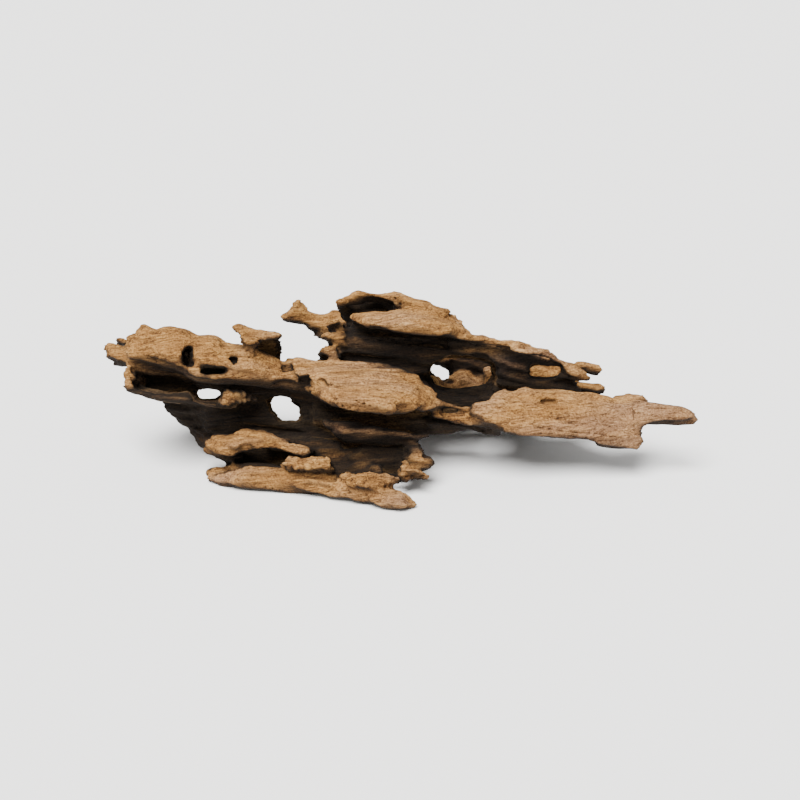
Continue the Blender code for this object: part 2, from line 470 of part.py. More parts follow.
# Hollows that run along the grain, in the same form as the limbs.
BURROWS = {
    "arm pocket": (25, [
        (146, 377, 381, -5, 7), (150, 373.5, 386, -3, 12), (158, 371.8, 388, 0, 14),
        (170, 373.5, 388.5, 1, 15),
        (184, 377.5, 388, 1, 15), (196, 382, 389, 2, 14), (208, 385, 391, 2, 13), (219, 387, 393, 2, 9),
    ]),
    "cap recess": (-30, [
        (351, 305, 310, 14, 7), (358, 301.5, 312.5, 15, 10), (370, 301, 314, 16, 12),
        (382, 301, 315.5, 17, 12), (391, 302.5, 314.5, 18, 10), (398, 306, 312, 18, 7),
    ]),
    "tongue undercut": (-25, [
        (322, 403, 413, -22, 9), (335, 409, 418.5, -21, 14), (350, 411.5, 421, -20, 17),
        (370, 414, 424, -20, 18), (390, 416, 427.5, -20, 18), (410, 414.5, 430, -20, 16),
        (425, 414, 431, -18, 12), (433, 416, 429, -14, 7),
    ]),
    "shelf undercut": (-15, [
        (229, 461, 464, -20, 9), (240, 457, 464, -19, 14), (255, 453, 464, -18, 17),
        (270, 451.5, 464.5, -18, 18), (283, 454.5, 461, -18, 15), (290, 456.5, 459, -18, 8),
    ]),
    "bottom groove": (0, [
        (343, 489.5, 493, -50, 4), (355, 491, 498, -53, 6), (370, 491.5, 499, -56, 6.5),
        (384, 492.5, 498.5, -58, 6), (393, 494, 497, -60, 4),
    ]),
    "back gallery": (0, [
        (345, 360, 384, 42, 10), (370, 364, 388, 42, 11), (384, 368, 386, 42, 9),
    ]),
}

# Hollows that run along the line of sight or across the grain. Each is a path of openings:
# (across, down, half width, half height) in view pixels, then depth in millimetres.
TUNNELS = {
    "arm window": [(209, 394, 13, 6.5, -30), (209, 394, 12.3, 6.2, 5), (209, 394, 14.5, 8, 80)],
    "left window top": [(281, 404, 11.5, 9, -30), (281, 404, 12, 9.5, 80)],
    "left window low": [(289, 412.5, 12, 9.5, -30), (289, 412.5, 12.5, 10, 80)],
    "tunnel mouth": [(463, 380, 41, 29, -40), (464, 379, 35, 26, -6), (463, 377, 34, 22, 14),
                     (461, 373, 32, 15, 26), (461, 372, 30, 16, 30), (461, 372, 34, 18, 60)],
    "sky hole top": [(437, 370, 5.6, 5.4, 16), (437, 370, 6.0, 5.8, 95)],
    "sky hole low": [(442.5, 375, 5.6, 5.6, 16), (442.5, 375, 6.0, 6.0, 95)],
    "right window": [(545, 371, 17, 7, -20), (545, 371, 16.5, 6.8, 20), (545, 371, 19, 9, 33)],
    "arm crescent": [(190, 356.5, 8.5, 11, -20), (190, 356.5, 8, 10.5, 6), (191, 358, 6, 7, 15)],
    "arm slot": [(213, 371, 14, 4.5, -24), (213, 371, 13.5, 4.5, 2), (212, 371.5, 11, 4, 14)],
    "tongue pit": [(288, 368, 6, 5, -12), (288, 368, 4, 3.5, 4)],
    "tongue heel pit": [(283, 372, 6, 3, -14), (283, 372, 4, 2, 2)],
    "tongue side pit": [(304, 383, 9, 6.5, -22), (305, 382, 5, 4, -2)],
    "tongue edge pit": [(321, 382, 6, 3.2, -26), (322, 382, 4, 2, -12)],
    "connector slot": [(452, 409.5, 10.5, 3.2, -26), (452, 409.5, 10, 3, 4)],
    "plate slot": [(549, 403.5, 11, 3.8, -28), (548, 403.5, 8.5, 3.2, -1)],
    "shelf eye left": [(219, 445, 7, 4.5, -36), (219, 446, 5, 3, -22)],
    "shelf eye right": [(246, 447.5, 8, 4, -40), (246, 447.5, 6, 3, -22)],
    "back eye left": [(386, 338, 12, 6, 48), (386, 336, 17, 9, 80)],
    "back eye middle": [(402, 383, 13, 6, 42), (402, 382, 18, 9, 80)],
    "back door": [(560, 417, 13, 7, 44), (560, 418, 18, 11, 80)],
    "back door left": [(400, 417, 13, 6, 44), (400, 418, 19, 10, 80)],
    "back door middle": [(476, 416, 14, 6, 44), (476, 416, 20, 10, 80)],
    "arm back eye": [(226, 387, 10, 5, 30), (226, 386, 15, 8, 60)],
    "membrane eye": [(232, 434, 10, 4, 27), (232, 434, 16, 8, 60)],
    "crack": [(234.5, 360, 3.2, 8.5, -18), (233.5, 360, 2.6, 7.5, 1)],
    "tongue far pit": [(330, 385, 6, 2.6, -28), (329, 385, 3.5, 1.6, -17)],
    "crack top": [(240, 347.5, 3.2, 4, -18), (239, 348.5, 2.6, 3.4, 0)],
}


def seen(across, down, depth):
    """The point at that depth in metres, in line with a place in the front view."""
    ray = SIGHT * FOCAL + ACROSS * (across - VIEW_CENTRE) + UPWARD * (VIEW_CENTRE - down)
    return EYE + ray * ((depth - EYE.y) / ray.y)


def pixel_at(point):
    """The real size of one view pixel at a point."""
    return (point - EYE).dot(SIGHT) / FOCAL


def between(rows, along):
    """The row at a place along a list of rows that is sorted by its first column."""
    for low, high in zip(rows, rows[1:]):
        if along <= high[0]:
            share = (along - low[0]) / (high[0] - low[0])
            return [a + (b - a) * share for a, b in zip(low, high)]
    return list(rows[-1])


def squared(circle):
    """A point of a circle, moved out to a square with well rounded corners."""
    side = (abs(circle.x) ** SQUARENESS + abs(circle.y) ** SQUARENESS) ** (1 / SQUARENESS)
    return circle / side


def drawn_out(bm, section, rings):
    """Adds a ball to bm, drawn out so that section(share) gives its centre and two half axes."""
    ball = bmesh.new()
    bmesh.ops.create_uvsphere(ball, u_segments=SIDES, v_segments=rings, radius=1.0)
    for vert in ball.verts:
        centre, high, deep = section(math.acos(max(-1.0, min(1.0, vert.co.z))) / math.pi)
        way = vert.co.xy
        if way.length > POLE:
            way = squared(way)
        vert.co = centre + high * way.x + deep * way.y
    mesh = bpy.data.meshes.new("ball")
    ball.to_mesh(mesh)
    ball.free()
    bm.from_mesh(mesh)
    bpy.data.meshes.remove(mesh)


def add_limb(bm, lean, rows):
    """A limb or burrow along the grain, whose outline in the front view is the rows' outline."""
    tilt = math.radians(lean)
    high_way = UPWARD * math.cos(tilt) + SIGHT * math.sin(tilt)
    deep_way = SIGHT * math.cos(tilt) - UPWARD * math.sin(tilt)
    incline = abs(math.sin(tilt))
    limit = THICKEST / max(incline, LEAST_INCLINE)
    shared = SQUARENESS / (SQUARENESS - 1)
    first, last = rows[0][0], rows[-1][0]

    def section(share):
        across, top, bottom, depth, thickness = between(rows, first + (last - first) * share)
        centre = seen(across, (top + bottom) / 2, depth * MILLIMETRE)
        half = (bottom - top) / 2 * pixel_at(centre)
        thin = min(thickness * MILLIMETRE, limit * half)
        long = (half**shared - (thin * incline) ** shared) ** (1 / shared) / math.cos(tilt)
        return centre, high_way * long, deep_way * thin

    drawn_out(bm, section, max(LEAST_RINGS, round((last - first) / RING_STEP)))


def add_spur(bm, points):
    """A round spur through points of the front view."""
    path = [(seen(u, v, y * MILLIMETRE), radius * MILLIMETRE) for u, v, y, radius in points]
    way = (path[-1][0] - path[0][0]).normalized()
    deep_way = (SIGHT - way * SIGHT.dot(way)).normalized()
    high_way = way.cross(deep_way)
    rows = [(step, *place, radius) for step, (place, radius) in enumerate(path)]

    def section(share):
        row = between(rows, share * (len(rows) - 1))
        return Vector(row[1:4]), high_way * row[4], deep_way * row[4]

    drawn_out(bm, section, SPUR_RINGS * len(points))


def add_tunnel(bm, openings):
    """A tunnel whose openings lie one behind the other in the front view."""
    rows = [(depth, across, down, wide, high) for across, down, wide, high, depth in openings]
    first, last = rows[0][0], rows[-1][0]

    def section(share):
        depth, across, down, wide, high = between(rows, first + (last - first) * share)
        centre = seen(across, down, depth * MILLIMETRE)
        return centre, ACROSS * (wide * pixel_at(centre)), UPWARD * (high * pixel_at(centre))

    drawn_out(bm, section, max(LEAST_RINGS, round((last - first) / RING_STEP)))


def mesh_object(name, bm):
    """An object that holds a bmesh's mesh, which is then freed."""
    mesh = bpy.data.meshes.new(name)
    bm.to_mesh(mesh)
    bm.free()
    made = bpy.data.objects.new(name, mesh)
    bpy.context.scene.collection.objects.link(made)
    return made


def voxel_fused(made):
    """Gives an object a modifier that fuses all its bodies to one skin."""
    fuse = made.modifiers.new("fuse", "REMESH")
    fuse.mode = "VOXEL"
    fuse.voxel_size = VOXEL


def applied(made):
    """Bakes an object's modifiers into its mesh."""
    graph = bpy.context.evaluated_depsgraph_get()
    mesh = bpy.data.meshes.new_from_object(made.evaluated_get(graph))
    made.modifiers.clear()
    made.data = mesh


def grown_limbs():
    """All the limbs and spurs, fused."""
    bm = bmesh.new()
    for lean, rows in LIMBS.values():
        add_limb(bm, lean, rows)
    for points in SPURS.values():
        add_spur(bm, points)
    limbs = mesh_object("honeycomb_wood", bm)
    voxel_fused(limbs)
    applied(limbs)
    return limbs


def rotted_hollows():
    """All the burrows and tunnels, fused to one cutter."""
    bm = bmesh.new()
    for lean, rows in BURROWS.values():
        add_limb(bm, lean, rows)
    for openings in TUNNELS.values():
        add_tunnel(bm, openings)
    hollows = mesh_object("hollows", bm)
    hollows.hide_render = True
    hollows.display_type = "WIRE"
    voxel_fused(hollows)
    applied(hollows)
    return hollows


def cut_out(wood, hollows):
    """Cuts the hollows out of the wood, adds the limbs inside them and wears all edges a little."""
    cut = wood.modifiers.new("hollows", "BOOLEAN")
    cut.operation = "DIFFERENCE"
    cut.solver = "MANIFOLD"
    cut.object = hollows
    applied(wood)
    bpy.data.objects.remove(hollows)
    bm = bmesh.new()
    bm.from_mesh(wood.data)
    for lean, rows in INNER_LIMBS.values():
        add_limb(bm, lean, rows)
    bm.to_mesh(wood.data)
    bm.free()
    voxel_fused(wood)
    wear = wood.modifiers.new("worn edges", "SMOOTH")
    wear.factor = WEAR
    applied(wood)


def grain_place(point):
    """A point's place in the grain, in millimetres: along it, and the two ways across it."""
    x, y, z = point / MILLIMETRE
    slope = z + x * GRAIN_FALL
    sway = GRAIN_SWAY * noise.noise(Vector((x / SWAY_RUN, y / SWAY_WIDTH, slope / SWAY_WIDTH)))
    return x, y + sway, slope + sway


def ridged(place, run, width):
    """Ridges of that length and width along the grain, from -1 to 1 with sharp crests."""
    x, across, up = place
    return 1 - CREST_SPREAD * abs(noise.noise(Vector((x / run, across / width, up / width))))


def relief(point, normal):
    """How far the eroded surface stands out at a point, in metres."""
    place = grain_place(point)
    grain = GRAIN_DEPTH * (ridged(place, GRAIN_RUN, GRAIN_WIDTH) - GRAIN_LEVEL)
    splinters = SPLINTER_DEPTH * (ridged(place, GRAIN_RUN, SPLINTER_WIDTH) - SPLINTER_LEVEL)
    crumble = CRUMBLE_DEPTH * noise.noise(point / (CRUMBLE_SIZE * MILLIMETRE))
    end_grain = normal.x**2
    deepest = DEEPEST_GROOVE + (DEEPEST_NOTCH - DEEPEST_GROOVE) * end_grain
    height = grain + (splinters - grain) * end_grain + crumble
    return max(height, -deepest) * MILLIMETRE


def raise_relief(wood):
    """Moves the surface along its normals by the relief, and closes it up again."""
    bm = bmesh.new()
    bm.from_mesh(wood.data)
    bm.normal_update()
    moves = [vert.normal * relief(vert.co, vert.normal) for vert in bm.verts]
    for vert, move in zip(bm.verts, moves):
        vert.co += move
    bm.to_mesh(wood.data)
    bm.free()
    voxel_fused(wood)
    applied(wood)


def drop_crumbs(wood):
    """Removes all bodies but the largest."""
    bm = bmesh.new()
    bm.from_mesh(wood.data)
    unseen = set(bm.verts)
    bodies = []
    while unseen:
        body = {unseen.pop()}
        edge_of_body = set(body)
        while edge_of_body:
            reached = {edge.other_vert(vert) for vert in edge_of_body for edge in vert.link_edges}
            edge_of_body = reached - body
            body |= edge_of_body
        unseen -= body
        bodies.append(body)
    bodies.sort(key=len)
    for crumb in bodies[:-1]:
        bmesh.ops.delete(bm, geom=list(crumb), context="VERTS")
    bm.to_mesh(wood.data)
    bm.free()


def thin_out(wood):
    """Takes the mesh down to its number of triangles."""
    thin = wood.modifiers.new("fewer faces", "DECIMATE")
    thin.ratio = TRIANGLES / sum(len(face.vertices) - 2 for face in wood.data.polygons)
    thin.use_collapse_triangulate = True
    applied(wood)


def stand_on_feet(wood):
    """Cuts the feet level and puts the middle of the wood's underside on the origin."""
    bm = bmesh.new()
    bm.from_mesh(wood.data)
    everything = bm.verts[:] + bm.edges[:] + bm.faces[:]
    sliced = bmesh.ops.bisect_plane(
        bm, geom=everything, plane_co=(0, 0, GROUND), plane_no=(0, 0, -1), clear_outer=True
    )
    rims = [item for item in sliced["geom_cut"] if isinstance(item, bmesh.types.BMEdge)]
    bmesh.ops.holes_fill(bm, edges=rims)
    bmesh.ops.triangulate(bm, faces=[face for face in bm.faces if len(face.verts) > 3])
    xs = [vert.co.x for vert in bm.verts]
    ys = [vert.co.y for vert in bm.verts]
    middle = Vector(((min(xs) + max(xs)) / 2, (min(ys) + max(ys)) / 2, GROUND))
    bmesh.ops.translate(bm, verts=bm.verts[:], vec=-middle)
    bm.to_mesh(wood.data)
    bm.free()


def driftwood_material():
    """Dry, bleached softwood, worn matt."""
    material = bpy.data.materials.new("bleached driftwood")
    material.use_nodes = True
    shader = material.node_tree.nodes["Principled BSDF"]
    shader.inputs["Base Color"].default_value = (0.36, 0.24, 0.13, 1)
    shader.inputs["Roughness"].default_value = 0.85
    shader.inputs["Metallic"].default_value = 0.0
    return material


def main():
    """Builds the wood."""
    for old in list(bpy.data.objects):
        bpy.data.objects.remove(old)
    wood = grown_limbs()
    cut_out(wood, rotted_hollows())
    raise_relief(wood)
    drop_crumbs(wood)
    thin_out(wood)
    stand_on_feet(wood)
    wood.data.materials.clear()
    wood.data.materials.append(driftwood_material())
    wood.data.shade_smooth()
    return wood


if __name__ == "__main__":
    main()
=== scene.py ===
import math

import bmesh
import bpy
import numpy as np
from mathutils import Matrix, Vector, noise
from mathutils.bvhtree import BVHTree


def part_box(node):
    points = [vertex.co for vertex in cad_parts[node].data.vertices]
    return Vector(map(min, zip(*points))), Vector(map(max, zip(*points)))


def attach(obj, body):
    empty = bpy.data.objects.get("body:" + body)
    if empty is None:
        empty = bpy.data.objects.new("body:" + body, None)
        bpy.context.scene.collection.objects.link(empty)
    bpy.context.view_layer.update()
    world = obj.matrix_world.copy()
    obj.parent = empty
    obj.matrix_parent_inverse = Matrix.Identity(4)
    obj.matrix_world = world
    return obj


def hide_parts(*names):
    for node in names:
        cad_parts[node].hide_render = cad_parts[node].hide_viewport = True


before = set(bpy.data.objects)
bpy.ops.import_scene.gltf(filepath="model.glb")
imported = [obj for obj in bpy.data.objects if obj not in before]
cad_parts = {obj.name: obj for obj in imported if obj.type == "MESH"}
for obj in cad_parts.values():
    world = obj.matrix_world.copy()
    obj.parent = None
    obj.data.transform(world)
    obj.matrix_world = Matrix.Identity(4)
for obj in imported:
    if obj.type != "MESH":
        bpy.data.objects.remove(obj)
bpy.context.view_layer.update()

# The wood lies along the grain, which is X, and the photograph looks along +Y and 25 degrees down.
LENGTH = 0.357  # tip to tip along the grain
VIEW_DISTANCE = 0.90  # from the camera to the middle of the wood
VIEW_ELEVATION = math.radians(25)
AIM_HEIGHT = 0.044  # height above the ground of the point in the middle of the view
MILLIMETRE = 0.001
GROUND = 0.0

# The view is measured in pixels of the photograph
PHOTO_SIZE = 800
VIEW_CENTRE = 400  # the middle of the view, across and down
VIEW_SPAN = 595  # the wood's length in the view
FOCAL = VIEW_DISTANCE * VIEW_SPAN / LENGTH

# Mesh sizes
VOXEL = 1.05 * MILLIMETRE
RING_STEP = 3.0  # between cross-sections: view pixels in a limb, and millimetres in a tunnel
SIDES = 24
SQUARENESS = 3.0  # 2 gives oval sections, and more gives flatter faces with tighter edges
TRIANGLES = 194000
LEAST_RINGS = 6
SPUR_RINGS = 4  # for each point of a spur
POLE = 0.001  # a ball's points that are this close to its axis are its poles
THICKEST = 0.65  # the largest share of a leaning limb's height that its thickness may take
LEAST_INCLINE = 0.1  # the sine of the smallest lean that this share reckons with
WEAR = 0.5  # how far a round of wear smooths the edges, from 0 to 1
WEAR_ROUNDS = 2

# Relief of the eroded grain, in millimetres
GRAIN_RUN = 110
GRAIN_WIDTH = 7.0
GRAIN_DEPTH = 2.0
GRAIN_LEVEL = 0.4  # the part of the grain's depth that stays under the limbs' own surface
GRAIN_SWAY = 5
SWAY_RUN = 90
SWAY_WIDTH = 35
GRAIN_FALL = 0.14  # how far the grain drops for each millimetre to the right
CREST_SPREAD = 3.2  # brings the noise's usual reach up to the full height of a ridge
SPLINTER_WIDTH = 5.4
SPLINTER_DEPTH = 2.0
SPLINTER_LEVEL = 0.5
CRUMBLE_SIZE = 9
CRUMBLE_DEPTH = 0.5
DEEPEST_GROOVE = 1.7
DEEPEST_NOTCH = 2.0  # at the broken ends

# Fine relief on top of that, in millimetres
BAND_RUN = 75
BAND_WIDTH = 3.4
BAND_HEIGHT = 0.28
FIBRE_RUN = 48
FIBRE_WIDTH = 1.6
FIBRE_HEIGHT = 0.20
FIBRE_LEVEL = 0.4  # the part of a ridge's height that stays under the surface
CHIP_HEIGHT = 0.08
CRACK_DEPTH = 3.2
CRACK_WIDTH = 0.05  # how near its middle the noise of the crack lines has to be
CRACK_LEVEL = -0.05  # only noise of the crack runs above this opens a crack
PIT_LEVEL = 0.15  # only noise above this makes a pit
PATCH_GAIN = 3.0  # how fast a rough patch sets in
PATCH_LEVEL = 0.35
PATCH_ROUGHNESS = 0.5
ROUGH_CHIPS = 0.55  # where the wood is rough or cut across the grain
ROUGH_PITS = 2.0
END_BANDS = 0.7  # on the broken ends
END_FIBRES = 0.4
END_LEVEL = 0.5
CRUMB_HEIGHT = 2.6  # on crumbled limbs
CRUMB_LEVEL = 0.6
CRUMB_CHIPS = 0.5
CRUMB_PITS = 1.2

# Each noise of the fine relief: its run along the grain, its width across it, both in
# millimetres, and how far off across the grain it is read, which keeps the noises apart
FINE_NOISES = {
    "chips": (6, 3.0, 0, 0),
    "rough patches": (34, 20, 0, 7),
    "crack lines": (70, 6, 31, 0),
    "crack runs": (30, 12, 0, 60),
    "pits": (3.2, 2.0, 0, 20),
    "crumbs": (3.6, 3.0, 0, 44),
}

# Shelter from the sky, which darkens the hollows and the undersides with painted shade
SKY_DIRECTIONS = 26
SHELTER_REACH = 48 * MILLIMETRE  # wood that is further off takes no light away
RAY_START = 0.9 * MILLIMETRE  # above the surface
GRAZING = 0.05  # the cosine under which a direction doesn't count
SKY_FROM_ABOVE = 0.95  # how much more light comes from above than from the sides
OPEN_SKY = 1.3  # the light from each share of the sky at which a place counts as open
LEAST_SKY = 0.001  # keeps the division by the whole sky safe
SHELTER_ROUNDS = 3  # of smoothing

# Patterns of the wood's surface, in millimetres. Real fibres are too fine to show, so they are coarser.
SWAY_SIZE = 50
SWAY_REACH = 5
GRAIN_TILT = 0.16  # in radians
GRAIN_BUMP = 1.0

# Size, detail and roughness of each pattern that has no direction
EVEN_PATTERNS = {
    "patches": (30, 4.0, 0.6),
    "grit": (1.1, 4.0, 0.65),
}

# Length along the grain, width, detail, roughness and distortion of each pattern that follows the grain
GRAIN_PATTERNS = {
    "rings": (38, 1.6, 6.0, 0.7, 0.3),
    "fibres": (17, 0.77, 4.0, 0.7, 0.0),
    "cracks": (71, 3.0, 3.0, 0.6, 0.0),
    "areas": (85, 21, 2.0, 0.5, 0.0),
}

# Blends of the patterns: the wood's tone, its turn from golden to grey, and its bump. Each has the
# level that it starts from, and the share that each pattern adds.
BLENDS = {
    "tone": (-0.84, {"rings": 0.60, "fibres": 0.80, "patches": 0.45, "grit": 0.95, "crest": 0.18}),
    "golden": (-0.11, {"across": 0.7, "areas": 1.1}),
    "bump": (0.0, {"grit": 1.0, "fibres": 0.8, "rings": 1.2}),
}

# Tones of the bare wood from its grooves to its crests, and the layers that multiply them
WOOD_TONES = [
    (0.12, "#402C1B"), (0.32, "#6C4F33"), (0.50, "#94724E"), (0.66, "#AC8A60"), (0.85, "#C6A67B"),
]
GOLDEN_TONES = [(0.36, "#F2DEB4"), (0.50, "#FFF3E0"), (0.64, "#ECE4E8")]
CRACK_TONES = [(0.0, "#6E6259"), (0.012, "#B9B1AA"), (0.03, "#FFFFFF")]
# The last layer is painted shade from the shelter: darker in hollows and under overhangs, a dull grey
# deepest
PAINTED_SHADE_TONES = [
    (0.20, "#FFFFFF"), (0.34, "#C8C6C8"), (0.46, "#7F7F84"), (0.58, "#46474D"), (0.74, "#34363B"),
    (0.90, "#4B4F56"), (1.0, "#989EA8"),
]
CRACK_STRENGTH = 0.8
NOISE_MIDDLE = 0.5  # a crack follows the line on which its pattern has this value

# Softwood's gloss, which sun and water have worn to matt
WOOD_ROUGHNESS = 0.86
WOOD_IOR = 1.45
WOOD_SPECULAR = 0.25

# Paper, light and camera
PAPER_COLOUR = "#FBFAF8"
PAPER_ROUGHNESS = 0.9
PAPER_REACH = 30.0  # from its middle to its edges, in metres
LAMP_POWER = 8.5
LAMP_SPREAD = math.radians(38)
LAMP_DIRECTION = Vector((0.3, 0.5, -1.15))
ROOM_COLOUR = "#FFFFFF"
ROOM_LIGHT = 0.62
SENSOR_WIDTH = 36  # in the camera's own millimetres
NEAREST_VIEW = 0.01

# Directions of the view, as world vectors
SIGHT = Vector((0, math.cos(VIEW_ELEVATION), -math.sin(VIEW_ELEVATION)))
UPWARD = Vector((0, math.sin(VIEW_ELEVATION), math.cos(VIEW_ELEVATION)))
ACROSS = Vector((1, 0, 0))
EYE = Vector((0, 0, AIM_HEIGHT)) - SIGHT * VIEW_DISTANCE

# How much painted shade a limb gets, on the scale of the shelter that darkens it. Undercut faces that
# lie in shade are darker, and pieces that catch the light behind a hollow get painted light and are paler.
LIMB_SHADES = {
    "left membrane": 0.22, "membrane strand": 0.2, "membrane heel": 0.2, "ground web": 0.15,
    "shelf root": 0.15, "shelf bridge": 0.08, "column": 0.2, "column foot": 0.1, "middle rib": 0.08,
    "recess wall": 0.22, "flank": 0.2, "bar shade": 0.12, "right wall": 0.22, "ring": 0.22,
    "horn back wall": 0.3, "horn roof": 0.1, "arm back wall": 0.12, "arm floor": 0.15, "arm rim": 0.36,
    "arm ceiling": -0.2, "arm cheek": -0.2, "arm knob": 0.1, "arm bud": 0.2, "cap end wall": 0.2,
    "cap back wall": 0.2, "tunnel floor": 0.2, "upper spike": 0.18, "end flake middle": 0.1,
    "end flake low": 0.15, "connector": 0.1, "back stub": 0.1, "tunnel sill": -0.45, "far lump": -0.6,
    "far spot": -0.1, "back beam right": -0.5,
}

# How crumbled the surface of a limb is, from 0 to 1
CRUMBLED_LIMBS = {
    "arm crumb": 1.0, "bottom lump": 0.9, "shelf tab": 0.5, "lower shelf": 0.6, "lower spike": 0.8,
    "upper spike": 0.3, "cap jag": 0.8, "end flake top": 0.3, "end flake middle": 0.5,
    "connector ridge": 0.4, "horn": 0.2, "bar": 0.3,
}

